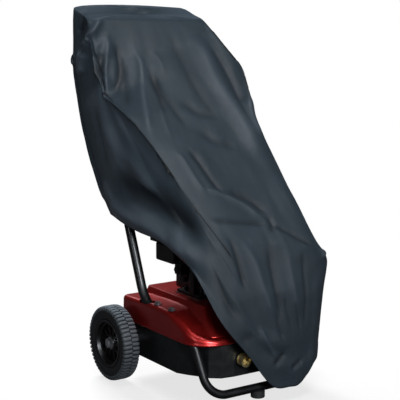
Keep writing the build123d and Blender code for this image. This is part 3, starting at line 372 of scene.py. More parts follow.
def mat_fabric():
    m = Mat("cover_fabric")
    big = m.noise(5.0, 5, 0.6)
    mid = m.noise(38.0, 4, 0.6)
    fine = m.noise(900.0, 2, 0.5)
    base = m.ramp(big, [(0.30, lin(43, 55, 64)), (0.55, lin(48, 61, 70)), (0.75, lin(53, 66, 77))])
    base = m.mix(m.range(mid, 0.35, 0.7, 0.0, 0.35), base, lin(45, 55, 60))
    # woven yarns seen through the coating
    wx = m.wave(430.0, "X")
    wz = m.wave(430.0, "Z")
    wy = m.wave(430.0, "Y")
    weave = m.math("ADD", m.math("MULTIPLY", wx, 0.4), m.math("MULTIPLY", m.math("ADD", wz, wy), 0.3))
    base = m.mix(m.range(weave, 0.2, 0.9, 0.0, 0.16), base, lin(84, 92, 104))
    # painted highlight on the ridges of the folds and painted shade in their hollows
    painted_fold_shading = m.attr("painted_fold_shading")
    base = m.mix(m.range(painted_fold_shading, 0.5, 1.0, 0.0, 0.30), base, lin(104, 112, 124))
    base = m.mix(m.range(painted_fold_shading, 0.5, 0.0, 0.0, 0.72), base, lin(15, 18, 23))
    # seam: dark stitch groove with dashes on both sides
    seam = m.math("MINIMUM", m.math("ABSOLUTE", m.attr("seam_d")), m.math("ABSOLUTE", m.attr("main_d")))
    along = m.attr("seam_s")
    line = m.range(m.math("ABSOLUTE", seam), 0.0010, 0.0028, 1.0, 0.0)
    base = m.mix(m.math("MULTIPLY", line, 0.95), base, lin(8, 9, 12))
    st = m.math("ABSOLUTE", m.math("SUBTRACT", m.math("ABSOLUTE", seam), 0.0055))
    dash = m.math("GREATER_THAN", m.math("FRACT", m.math("DIVIDE", along, 0.0055)), 0.35)
    stitch = m.math("MULTIPLY", m.range(st, 0.0004, 0.0009, 1.0, 0.0), dash)
    hem = m.attr("hem_d")
    hs = m.attr("hem_s")
    hst = m.math("ABSOLUTE", m.math("SUBTRACT", hem, 0.021))
    hdash = m.math("GREATER_THAN", m.math("FRACT", m.math("DIVIDE", hs, 0.0055)), 0.35)
    hstitch = m.math("MULTIPLY", m.range(hst, 0.0004, 0.0009, 1.0, 0.0), hdash)
    stitches = m.math("MAXIMUM", stitch, hstitch)
    base = m.mix(m.math("MULTIPLY", stitches, 0.55), base, lin(28, 32, 38))
    m.set("Base Color", base)
    rough = m.range(m.noise(60.0, 3, 0.5), 0.3, 0.7, 0.46, 0.54)
    m.set("Roughness", rough)
    m.set("Specular IOR Level", 0.46)
    m.set("Sheen Weight", 0.08)
    m.set("Sheen Roughness", 0.45)
    m.set("Sheen Tint", lin(150, 165, 190))
    b = m.bump(m.noise(9.0, 2, 0.5), 0.05, 0.010)
    b = m.bump(m.noise(48.0, 3, 0.55), 0.07, 0.0022, b)
    b = m.bump(weave, 0.30, 0.0004, b)
    b = m.bump(fine, 0.12, 0.0003, b)
    b = m.bump(m.math("MULTIPLY", stitches, -1.0), 0.6, 0.0006, b)
    b = m.bump(m.math("MULTIPLY", line, -1.0), 0.8, 0.0016, b)
    m.set("Normal", b)
    return m.m


def mat_red():
    m = Mat("red_paint")
    flake = m.noise(1600.0, 2, 0.5)
    col = m.ramp(m.noise(9.0, 4, 0.6), [(0.3, lin(168, 20, 17)), (0.7, lin(190, 28, 22))])
    col = m.mix(m.range(flake, 0.55, 0.75, 0.0, 0.25), col, lin(196, 50, 36))
    dirt = m.range(m.noise(55.0, 6, 0.7), 0.62, 0.78, 0.0, 0.30)
    col = m.mix(dirt, col, lin(70, 16, 12))
    worn = m.math("MULTIPLY", m.edge(0.0016), m.range(m.noise(120.0, 5, 0.7), 0.52, 0.62, 0.0, 0.7), clamp=True)
    col = m.mix(worn, col, lin(84, 30, 26))
    m.set("Base Color", col)
    m.set("Metallic", 0.65)
    m.set("Roughness", m.range(m.noise(30.0, 5, 0.6), 0.3, 0.75, 0.34, 0.44))
    m.set("Coat Weight", 0.35)
    m.set("Coat Roughness", 0.20)
    m.set("Normal", m.bump(m.noise(420.0, 2, 0.5), 0.05, 0.0004))
    return m.m


def mat_black(name, base, hi, rough, grain=700.0, grain_str=0.25, coat=0.0, wear=0.5, metal=0.0):
    m = Mat(name)
    col = m.ramp(m.noise(14.0, 5, 0.6), [(0.3, lin(*base)), (0.75, lin(*hi))])
    dust = m.range(m.noise(48.0, 6, 0.7), 0.58, 0.8, 0.0, 0.35)
    col = m.mix(dust, col, lin(*[min(255, c + 26) for c in hi]))
    worn = m.math("MULTIPLY", m.edge(0.0010), m.range(m.noise(150.0, 5, 0.7), 0.45, 0.62, 0.0, wear), clamp=True)
    col = m.mix(worn, col, lin(*[min(255, c + 70) for c in hi]))
    m.set("Base Color", col)
    m.set("Metallic", metal)
    m.set("Roughness", m.range(m.noise(36.0, 5, 0.65), 0.3, 0.75, rough - 0.07, rough + 0.09))
    m.set("Coat Weight", coat)
    m.set("Coat Roughness", 0.12)
    b = m.bump(m.noise(grain, 2, 0.5), grain_str, 0.0004)
    m.set("Normal", m.bump(m.noise(30.0, 3, 0.5), 0.06, 0.002, b))
    return m.m


def mat_metal(name, base, hi, rough, brushed=None, stain=(70, 62, 52)):
    m = Mat(name)
    col = m.ramp(m.noise(18.0, 5, 0.6), [(0.3, lin(*base)), (0.75, lin(*hi))])
    col = m.mix(m.range(m.noise(85.0, 6, 0.7), 0.60, 0.78, 0.0, 0.5), col, lin(*stain))
    m.set("Base Color", col)
    m.set("Metallic", 1.0)
    m.set("Roughness", m.range(m.noise(60.0, 5, 0.65), 0.3, 0.75, rough - 0.08, rough + 0.12))
    if brushed:
        b = m.bump(m.noise(260.0, 3, 0.6, stretch=brushed), 0.25, 0.0004)
    else:
        b = m.bump(m.noise(520.0, 3, 0.6), 0.35, 0.0006)
    m.set("Normal", b)
    return m.m


def mat_tyre():
    m = Mat("tyre_rubber")
    col = m.ramp(m.noise(22.0, 5, 0.6), [(0.3, lin(17, 18, 20)), (0.75, lin(27, 29, 32))])
    dust = m.range(m.noise(70.0, 6, 0.75), 0.5, 0.8, 0.0, 0.30)
    col = m.mix(dust, col, lin(70, 74, 78))
    # painted highlight: the outer faces of the tread bars are made paler as if lit, while the gaps between them stay
    # dark
    top = m.attr("tread")
    col = m.mix(m.math("MULTIPLY", top, 0.85), col, lin(112, 123, 132))
    m.set("Base Color", col)
    m.set("Roughness", m.range(m.noise(40.0, 4, 0.6), 0.3, 0.7, 0.58, 0.78))
    b = m.bump(m.noise(900.0, 3, 0.6), 0.3, 0.0004)
    m.set("Normal", m.bump(m.noise(60.0, 3, 0.5), 0.12, 0.0012, b))
    return m.m


def mat_rubber(name, base, hi):
    m = Mat(name)
    col = m.ramp(m.noise(30.0, 5, 0.6), [(0.3, lin(*base)), (0.75, lin(*hi))])
    col = m.mix(m.range(m.noise(110.0, 6, 0.75), 0.55, 0.8, 0.0, 0.4), col, lin(70, 72, 74))
    m.set("Base Color", col)
    m.set("Roughness", m.range(m.noise(50.0, 4, 0.6), 0.3, 0.7, 0.6, 0.8))
    v = m.n("ShaderNodeTexVoronoi")
    v.inputs["Scale"].default_value = 420.0
    m.link(m.co, v.inputs["Vector"])
    b = m.bump(v.outputs["Distance"], 0.3, 0.0005)
    m.set("Normal", m.bump(m.noise(700.0, 2, 0.5), 0.2, 0.0003, b))
    return m.m


M = {
    "cover_fabric": mat_fabric(),
    "red_paint": mat_red(),
    "skirt": mat_black("skirt_plastic", (14, 17, 20), (26, 31, 35), 0.42, 900.0, 0.35),
    "black_plastic": mat_black("black_plastic", (10, 11, 12), (20, 22, 24), 0.46, 900.0, 0.35),
    "wheel_plastic": mat_black("wheel_plastic", (9, 9, 10), (19, 20, 22), 0.38, 800.0, 0.25),
    "black_paint": mat_black("black_paint", (9, 10, 12), (18, 20, 23), 0.42, 300.0, 0.03, coat=0.1, wear=0.3),
    "tyre": mat_tyre(),
    "rubber": mat_rubber("black_rubber", (20, 21, 22), (34, 35, 37)),
    "foam": mat_rubber("foam", (28, 28, 28), (44, 44, 44)),
    "zinc_steel": mat_metal("zinc_steel", (168, 170, 172), (205, 206, 208), 0.32, (1.0, 1.0, 14.0)),
    "cast_aluminium": mat_metal("cast_aluminium", (120, 122, 124), (160, 162, 164), 0.5),
    "brass": mat_metal("brass", (196, 178, 132), (222, 208, 168), 0.36, None, (120, 98, 62)),
}
BOLT_METAL = mat_metal("bolt_steel", (88, 88, 90), (120, 120, 122), 0.46)
ENGINE_BLACK = mat_black("engine_paint", (8, 9, 10), (18, 20, 22), 0.40, 500.0, 0.45, metal=0.0)

SLOT = {s["node"]: s["material_slot"] for s in frame["record"]["subparts"]}


def put(obj, mat):
    obj.data.materials.clear()
    obj.data.materials.append(mat)


def smooth(obj, angle=35.0):
    me = obj.data
    me.shade_smooth()
    me.set_sharp_from_angle(angle=math.radians(angle))


for name, o in NODES.items():
    s = SLOT[name]
    mat = M.get(s)
    if name == "base_skirt":
        mat = M["skirt"]
    if name in ("crankcase", "cylinder", "cylinder_head", "carburettor"):
        mat = ENGINE_BLACK
    if name in ("frame_bolts", "handle_joint_bolts"):
        mat = BOLT_METAL
    if not o.data.materials:
        o.data.materials.append(mat)
    for i in range(len(o.data.materials)):
        o.data.materials[i] = mat
    for ms in o.material_slots:
        ms.material = mat


def new_mesh(name, verts, faces):
    me = bpy.data.meshes.new(name)
    me.from_pydata([tuple(v) for v in verts], [], [tuple(f) for f in faces])
    me.update()
    o = bpy.data.objects.new(name, me)
    bpy.context.scene.collection.objects.link(o)
    return o


def apply_mods(o):
    dg = bpy.context.evaluated_depsgraph_get()
    me = bpy.data.meshes.new_from_object(o.evaluated_get(dg), depsgraph=dg)
    o.modifiers.clear()
    old = o.data
    o.data = me
    bpy.data.meshes.remove(old)


# ---------------------------------------------------------------- cover piece
def smooth_noise(p, scale, seed, k=14):
    """Sum of random plane waves, about -1..1, features near scale mm."""
    r = np.random.RandomState(seed)
    out = np.zeros(len(p))
    for _ in range(k):
        d = r.normal(size=3)
        d /= np.linalg.norm(d)
        f = 2 * math.pi / (scale * r.uniform(0.7, 1.6))
        out += np.sin(p @ d * f + r.uniform(0, 6.28)) * r.uniform(0.5, 1.0)
    return out / math.sqrt(k * 0.6)


def seg_dist(p, a, b):
    ab = b - a
    t = np.clip(((p - a) @ ab) / max(ab @ ab, 1e-9), 0, 1)
    return np.linalg.norm(p - (a + t[:, None] * ab), axis=1), t


def line_dist(p, pts):
    pts = np.array(pts, float)
    seg = np.linalg.norm(np.diff(pts, axis=0), axis=1)
    acc = np.concatenate([[0], np.cumsum(seg)])
    best = np.full(len(p), 1e9)
    pos = np.zeros(len(p))
    for i in range(len(pts) - 1):
        d, t = seg_dist(p, pts[i], pts[i + 1])
        m = d < best
        best[m] = d[m]
        pos[m] = acc[i] + t[m] * seg[i]
    return best, pos, acc[-1]


def fine_line(pts):
    """Smooth polyline through the points."""
    p = np.array(pts, float)
    if len(p) < 3:
        return p
    q = np.vstack([2 * p[0] - p[1], p, 2 * p[-1] - p[-2]])
    out = []
    for i in range(1, len(q) - 2):
        for t in np.linspace(0, 1, 6)[:-1]:
            out.append(catmull(q[i - 1][None], q[i][None], q[i + 1][None], q[i + 2][None], t)[0])
    out.append(p[-1])
    return np.array(out)


def grid_mesh(g, name):
    nr, nc = g.shape[:2]
    verts = g.reshape(-1, 3) * 0.001
    idx = np.arange(nr * nc).reshape(nr, nc)
    a, b = idx[:-1], np.roll(idx, -1, 1)[:-1]
    c, d = np.roll(idx, -1, 1)[1:], idx[1:]
    faces = np.stack([a, d, c, b], -1).reshape(-1, 4)
    return verts, faces


def relax(a, times, w=0.5):
    for _ in range(times):
        lap = (np.roll(a, 1, 1) + np.roll(a, -1, 1)) / 2
        b = a.copy()
        b[1:-1] = 0.5 * (a[:-2] + a[2:]) * 0.5 + lap[1:-1] * 0.5
        b[0], b[-1] = lap[0], lap[-1]
        a = a + w * (b - a)
    return a


def blow_up(c, nr, nc):
    """Coarse periodic grid of offsets brought to the fine grid."""
    k = c.shape[1]
    fr = np.linspace(0, c.shape[0] - 1, nr)
    r0 = np.minimum(fr.astype(int), c.shape[0] - 2)
    t = (fr - r0)[:, None, None]
    a = c[r0] * (1 - t) + c[r0 + 1] * t
    fc = np.arange(nc) * k / nc
    c0 = fc.astype(int)
    u = (fc - c0)[None, :, None]
    u = u * u * (3 - 2 * u)
    return a[:, c0] * (1 - u) + a[:, (c0 + 1) % k] * u


def drape(g, frames=26):
    """Let the cloth settle: slightly oversize fabric, softly held on its line, buckles into folds."""
    nr, nc = g.shape[:2]
    rows = np.linspace(0, nr - 1, 84).round().astype(int)
    k = 110
    cols = (np.arange(k) * nc / k).round().astype(int)
    c = g[rows][:, cols]
    n = len(rows)
    idx = np.arange(n * k).reshape(n, k)
    a, b = idx[:-1], np.roll(idx, -1, 1)[:-1]
    d, e = np.roll(idx, -1, 1)[1:], idx[1:]
    o = new_mesh("cloth_sim", c.reshape(-1, 3) * 0.001, np.stack([a, e, d, b], -1).reshape(-1, 4).tolist())
    v = np.linspace(0, 1, n)[:, None] * np.ones((1, k))
    y = c[:, :, 1]
    hold = 0.10 + 0.9 * np.clip(1 - v / 0.05, 0, 1) + 0.55 * np.clip((v - 0.93) / 0.07, 0, 1)
    rear = y > 120
    hold = np.clip(np.where(rear, hold + 0.12, hold), 0, 1)
    vg = o.vertex_groups.new(name="hold")
    flat_h = hold.reshape(-1)
    for q in range(11):
        lo, hi = q / 10 - 0.05, q / 10 + 0.05
        w = np.where((flat_h >= lo) & (flat_h < hi))[0]
        if len(w):
            vg.add(w.tolist(), q / 10, "REPLACE")
    m = o.modifiers.new("cloth", "CLOTH")
    st = m.settings
    st.quality = 6
    st.mass = 0.25
    st.air_damping = 2.0
    st.tension_stiffness = 22
    st.compression_stiffness = 22
    st.shear_stiffness = 12
    st.bending_stiffness = 0.9
    st.tension_damping = st.compression_damping = st.shear_damping = 12
    st.vertex_group_mass = "hold"
    st.pin_stiffness = 0.9
    st.shrink_min = -0.055
    m.collision_settings.use_collision = False
    m.point_cache.frame_start = 1
    m.point_cache.frame_end = frames
    sc = bpy.context.scene
    for f in range(1, frames + 1):
        sc.frame_set(f)
    dg = bpy.context.evaluated_depsgraph_get()
    ev = o.evaluated_get(dg).data
    out = np.empty(len(ev.vertices) * 3)
    ev.vertices.foreach_get("co", out)
    out = out.reshape(n, k, 3) * 1000
    sc.frame_set(1)
    bpy.data.objects.remove(o)
    return relax(out - c, 3, 0.6)


g = round_corner(cover_base())
nr, nc = g.shape[:2]
nrm = grid_normals(g)
slack = np.zeros_like(g)
off = drape(g)
out = blow_up(off, nr, nc)
along = (out * nrm).sum(-1, keepdims=True)
slack = nrm * np.clip(along, -8, 8) * 0.45
flat = g.reshape(-1, 3)
row = np.repeat(np.arange(nr), nc) / (nr - 1)
free = np.clip(row * 6, 0, 1)
stretchy = flat * np.array([1.0, 0.42, 0.42])
disp = 0.5 * smooth_noise(stretchy, 80.0, 3) * free
disp += 0.45 * (np.abs(smooth_noise(stretchy, 58.0, 5)) - 0.6) * free
disp += 0.10 * smooth_noise(flat * np.array([1.0, 0.6, 0.6]), 15.0, 8) * free
behind = np.clip((flat[:, 1] - (0.62 * (flat[:, 2] - 430.0) + 60.0)) / 60.0, 0, 1) * np.clip((180 - np.abs(flat[:, 0])) / 60.0, 0, 1)
disp += 2.6 * smooth_noise(flat * np.array([1.0, 0.3, 0.22]), 95.0, 21) * behind * free
# feature gathers painted light and shade along the folds: positive for a painted highlight, negative for painted
# shade
feature = np.zeros(len(flat))
for name, pts, amp, wid in FOLDS:
    line = fine_line(pts)
    lo, hi = line.min(0) - wid * 3.2, line.max(0) + wid * 3.2
    near = np.where(((flat > lo) & (flat < hi)).all(1))[0]
    if not len(near):
        continue
    d, s, total = line_dist(flat[near], line)
    taper = np.clip(np.minimum(s, total - s) / max(total * 0.22, 1e-6), 0.0, 1.0)
    taper = 0.15 + 0.85 * taper * taper * (3 - 2 * taper)
    prof = np.exp(-(d / wid) ** 2)
    crisp = np.exp(-(d / (wid * 0.42)) ** 1.3)
    if not name.startswith("soft"):
        prof = 0.5 * prof + 0.5 * crisp
    prof[d > wid * 3.2] = 0
    if name.startswith("tint"):
        # only painted highlight or painted shade in the colour, no shape
        feature[near] += amp * taper * prof
        continue
    disp[near] += amp * taper * prof
    feature[near] += np.sign(amp) * min(abs(amp) / 8, 1.0) * taper * prof
n_flat = nrm.reshape(-1, 3)
total_off = slack.reshape(-1, 3) + n_flat * disp[:, None]
# never closer than a few millimetres to what stands under the cloth
depth = (total_off * n_flat).sum(1)
bvh_v, bvh_f = [], []
for nm, ob in NODES.items():
    if nm == "cover" or nm.startswith("tyre") or nm.startswith("wheel"):
        continue
    base_i = len(bvh_v)
    mw = ob.matrix_world
    bvh_v.extend([mw @ v.co for v in ob.data.vertices])
    bvh_f.extend([[base_i + i for i in f.vertices] for f in ob.data.polygons])
tree = BVHTree.FromPolygons(bvh_v, bvh_f)
reach = 0.030
for i in range(len(flat)):
    o_ = Vector(flat[i] * 0.001 + n_flat[i] * 0.012)
    dv = Vector(-n_flat[i])
    hit = tree.ray_cast(o_, dv, 0.012 + reach)
    if hit[0] is not None:
        room = (hit[3] - 0.012) * 1000 - 2.2
        if depth[i] < -room:
            total_off[i] += n_flat[i] * (-room - depth[i])
moved = flat + total_off
crown = np.clip((moved[:, 2] - 930.0) / 70.0, 0, 1) * np.exp(-((moved[:, 0] + 30.0) / 150.0) ** 4)
moved[:, 2] += 6.5 * crown * crown
g2 = moved.reshape(nr, nc, 3)


g2 = relax(g2, 1, 0.5)

# top panel: rings closing towards the middle of the top
rings = 14
top = []
for k in range(1, rings + 1):
    f = k / (rings + 0.6)
    e = g2[0] + (np.array([0.0, 308.0, 0.0]) - g2[0]) * np.array([f, f, 0]) 
    zline = 1010 - (355 - e[:, 1]) * 0.37
    z = g2[0][:, 2] * (1 - f) + zline * f
    e[:, 2] = z + 2.5 * math.sin(math.pi * min(f * 1.2, 1)) * 0.4
    top.append(e)
g3 = np.concatenate([np.array(top[::-1]), g2], 0)
lid = g3[:rings + 4].copy()
for _ in range(60):
    lap = (np.roll(lid, 1, 1) + np.roll(lid, -1, 1)) / 2
    lid[1:-1] = 0.25 * (lid[:-2] + lid[2:]) + 0.5 * lap[1:-1]
    lid[0] = 0.5 * lap[0] + 0.5 * lid[1]
blend = np.clip((rings + 3 - np.arange(rings + 4)) / 4.0, 0, 1)[:, None, None]
g3[:rings + 4, :, 2] = (lid * blend + g3[:rings + 4] * (1 - blend))[:, :, 2]
for c in range(nc):
    k = rings + 30
    r = smooth_path(g3[:k, c], 8.0, False)
    w = np.clip(1 - np.abs(np.arange(k) - rings) / 9.0, 0, 1)[:, None]
    g3[:k, c] = g3[:k, c] * (1 - w) + r * w
verts, faces = grid_mesh(g3, "cover")
center = g3[0].mean(0) * 0.001
nv = len(verts)
faces = [tuple(f) for f in faces]
for i in range(nc):
    faces.append((nv, i, (i + 1) % nc))
verts = np.vstack([verts, center])
cover = new_mesh("cover_fabric_shell", verts, faces)
bm = bmesh.new()
bm.from_mesh(cover.data)
bmesh.ops.recalc_face_normals(bm, faces=bm.faces)
bm.to_mesh(cover.data)
bm.free()
me = cover.data
me.shade_smooth()

# attributes for the fabric finish and its painted light and shade
allp = verts * 1000.0
hem_line = g3[-1]
closed = np.vstack([hem_line, hem_line[:1]])
hem_s = np.concatenate([[0], np.cumsum(np.linalg.norm(np.diff(closed, axis=0), axis=1))])[:-1]
col_len = np.linalg.norm(np.diff(g3, axis=0), axis=2)
to_hem = np.concatenate([np.cumsum(col_len[::-1], 0)[::-1], np.zeros((1, nc))], 0)
hem_d = np.append(to_hem.reshape(-1), 500.0)
hem_a = np.append(np.tile(hem_s, g3.shape[0]), 0.0)


def col_index(k):
    return sum(PER[:k])


SEAM_COLS = [col_index(14), col_index(3), col_index(17)]
seam_lines = [g3[rings:, c] for c in SEAM_COLS]
seam_d = np.full(nv + 1, 400.0)
seam_s = np.zeros(nv + 1)
for ln in seam_lines:
    d, s, total = line_dist(allp, ln[::3])
    m = d < seam_d
    seam_d[m], seam_s[m] = d[m], s[m]
main = fine_line(SEAM_MAIN)
d, q_s, total = line_dist(flat, main)
near_i = ((flat[:, None, :] - main[None, :, :]) ** 2).sum(-1).argmin(1)
tang = np.gradient(main, axis=0)[near_i]
side = np.sign((np.cross(n_flat, tang) * (flat - main[near_i])).sum(1))
side[(side == 0) | (d > 120)] = 1.0
main_d = np.concatenate([np.full(rings * nc, 400.0), d * side, [400.0]])
q_s = np.concatenate([np.zeros(rings * nc), q_s, [0.0]])
m = np.abs(main_d) < seam_d
seam_s[m] = q_s[m]
# painted light and shade for the fabric colour: ridges and lit bands paler, hollows and the pocket darker
painted_fold_shading = np.append(np.concatenate([np.zeros(rings * nc), feature]), 0.0)
painted_fold_shading = np.clip(0.5 + 0.5 * painted_fold_shading, 0, 1)
for nm, arr in (("hem_d", hem_d * 0.001), ("hem_s", hem_a * 0.001), ("seam_d", seam_d * 0.001), ("main_d", main_d * 0.001), ("seam_s", seam_s * 0.001), ("painted_fold_shading", painted_fold_shading)):
    at = me.attributes.new(nm, "FLOAT", "POINT")
    at.data.foreach_set("value", arr.astype(np.float32))

vg = cover.vertex_groups.new(name="hem")
w = np.clip((24.0 - hem_d) / 2.0, 0, 1)
for i in np.where(w > 0)[0]:
    vg.add([int(i)], float(w[i]), "REPLACE")
sol = cover.modifiers.new("thick", "SOLIDIFY")
sol.thickness = 0.0028
sol.offset = -1.0
sol.vertex_group = "hem"
sol.thickness_vertex_group = 0.4
apply_mods(cover)
put(cover, M["cover_fabric"])
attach(cover, "cover")
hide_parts("cover")

# ---------------------------------------------------------------- tyres
def tyre_mesh(name, side):
    lo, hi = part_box(name)
    cx, cy, cz = (lo.x + hi.x) / 2, (lo.y + hi.y) / 2, (lo.z + hi.z) / 2
    R = 0.1016
    prof = [(-0.0185, 0.0656), (-0.0212, 0.0668), (-0.0222, 0.0690), (-0.0222, 0.0712), (-0.0230, 0.0728), (-0.0232, 0.0800), (-0.0232, 0.0880),
            (-0.0229, 0.0912), (-0.0218, 0.0932), (-0.0195, 0.0946), (-0.0150, R - 0.0064), (-0.0070, R - 0.0060), (0, R - 0.0058)]
    prof = prof + [(-x, r) for x, r in reversed(prof[:-1])]
    nt = 216
    V, F = [], []
    for i in range(nt):
        a = 2 * math.pi * i / nt
        for x, r in prof:
            V.append((cx + x, cy + r * math.cos(a), cz + r * math.sin(a)))
    k = len(prof)
    for i in range(nt):
        j = (i + 1) % nt
        for q in range(k - 1):
            F.append((i * k + q, i * k + q + 1, j * k + q + 1, j * k + q))
        F.append((i * k + k - 1, i * k, j * k, j * k + k - 1))
    base = len(V)
    # tread is 1 on the outer faces of the bars, where the tyre material paints a highlight
    tread = [0.0] * base
    n = 54
    # one bar: from the middle rib out over the shoulder
    path = [(0.0009, R - 0.0004), (0.0080, R - 0.0001), (0.0150, R - 0.0004), (0.0198, R - 0.0013), (0.0222, R - 0.0030), (0.0236, R - 0.0058), (0.0239, R - 0.0092), (0.0234, R - 0.0122)]
    root = [(0.0009, R - 0.0074), (0.0080, R - 0.0074), (0.0150, R - 0.0078), (0.0186, R - 0.0086), (0.0204, R - 0.0096), (0.0214, R - 0.0108), (0.0222, R - 0.0124), (0.0226, R - 0.0136)]
    for sgn in (-1, 1):
        for b in range(n):
            a0 = 2 * math.pi * (b + (0.5 if sgn > 0 else 0.0)) / n
            half = math.pi / n * 0.62
            start = len(V)
            for (x, r), (x2, r2) in zip(path, root):
                hw = half * (0.92 + 0.10 * (x / 0.024))
                sk = 0.10 * (x / 0.024) * (2 * math.pi / n)
                for (xx, rr, da) in ((x2, r2, -hw * 1.22), (x, r - 0.0006, -hw), (x, r, -hw * 0.72), (x, r, hw * 0.72), (x, r - 0.0006, hw), (x2, r2, hw * 1.22)):
                    a = a0 + da + sk
                    V.append((cx + sgn * xx, cy + rr * math.cos(a), cz + rr * math.sin(a)))
                    tread.append(1.0 if abs(da) < hw * 1.1 else 0.0)
            m = len(path)
            for i in range(m - 1):
                for q in range(5):
                    p = start + i * 6 + q
                    f = (p, p + 1, p + 7, p + 6)
                    F.append(f if sgn > 0 else f[::-1])
                p = start + i * 6
                f = (p + 5, p, p + 6, p + 11)
                F.append(f if sgn > 0 else f[::-1])
            e0 = tuple(start + q for q in range(6))
            e1 = tuple(start + (m - 1) * 6 + q for q in range(6))
            F.append(e0[::-1] if sgn > 0 else e0)
            F.append(e1 if sgn > 0 else e1[::-1])
    o = new_mesh(name + "_treaded", V, F)
    bm = bmesh.new()
    bm.from_mesh(o.data)
    bmesh.ops.recalc_face_normals(bm, faces=bm.faces)
    bm.to_mesh(o.data)
    bm.free()
    at = o.data.attributes.new("tread", "FLOAT", "POINT")
    at.data.foreach_set("value", np.array(tread, np.float32))
    smooth(o, 40)
    put(o, M["tyre"])
    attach(o, "wheel_" + side)
    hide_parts(name)
    return o


tyre_mesh("tyre_left", "left")
tyre_mesh("tyre_right", "right")

# ---------------------------------------------------------------- deck shell
def rounded(hw, y0, y1, rf, rr, n):
    """Points round a rectangle with its own front and rear corner radii; the n argument is not used."""
    pts = []
    def arc(cx, cy, r, a0, a1, k):
        for i in range(k):
            a = math.radians(a0 + (a1 - a0) * i / k)
            pts.append((cx + r * math.cos(a), cy + r * math.sin(a)))
    def line(x0, ya, x1, yb, k):
        for i in range(k):
            f = i / k
            pts.append((x0 + (x1 - x0) * f, ya + (yb - ya) * f))
    line(0, y1, hw - rr, y1, 14)
    arc(hw - rr, y1 - rr, rr, 90, 0, 10)
    line(hw, y1 - rr, hw, y0 + rf, 40)
    arc(hw - rf, y0 + rf, rf, 0, -90, 24)
    line(hw - rf, y0, 0, y0, 16)
    left = [(-x, y) for x, y in pts]
    # walk back from the front middle up the left side
    pts.append((0.0, y0))
    pts.extend(reversed(left[1:]))
    return np.array(pts)


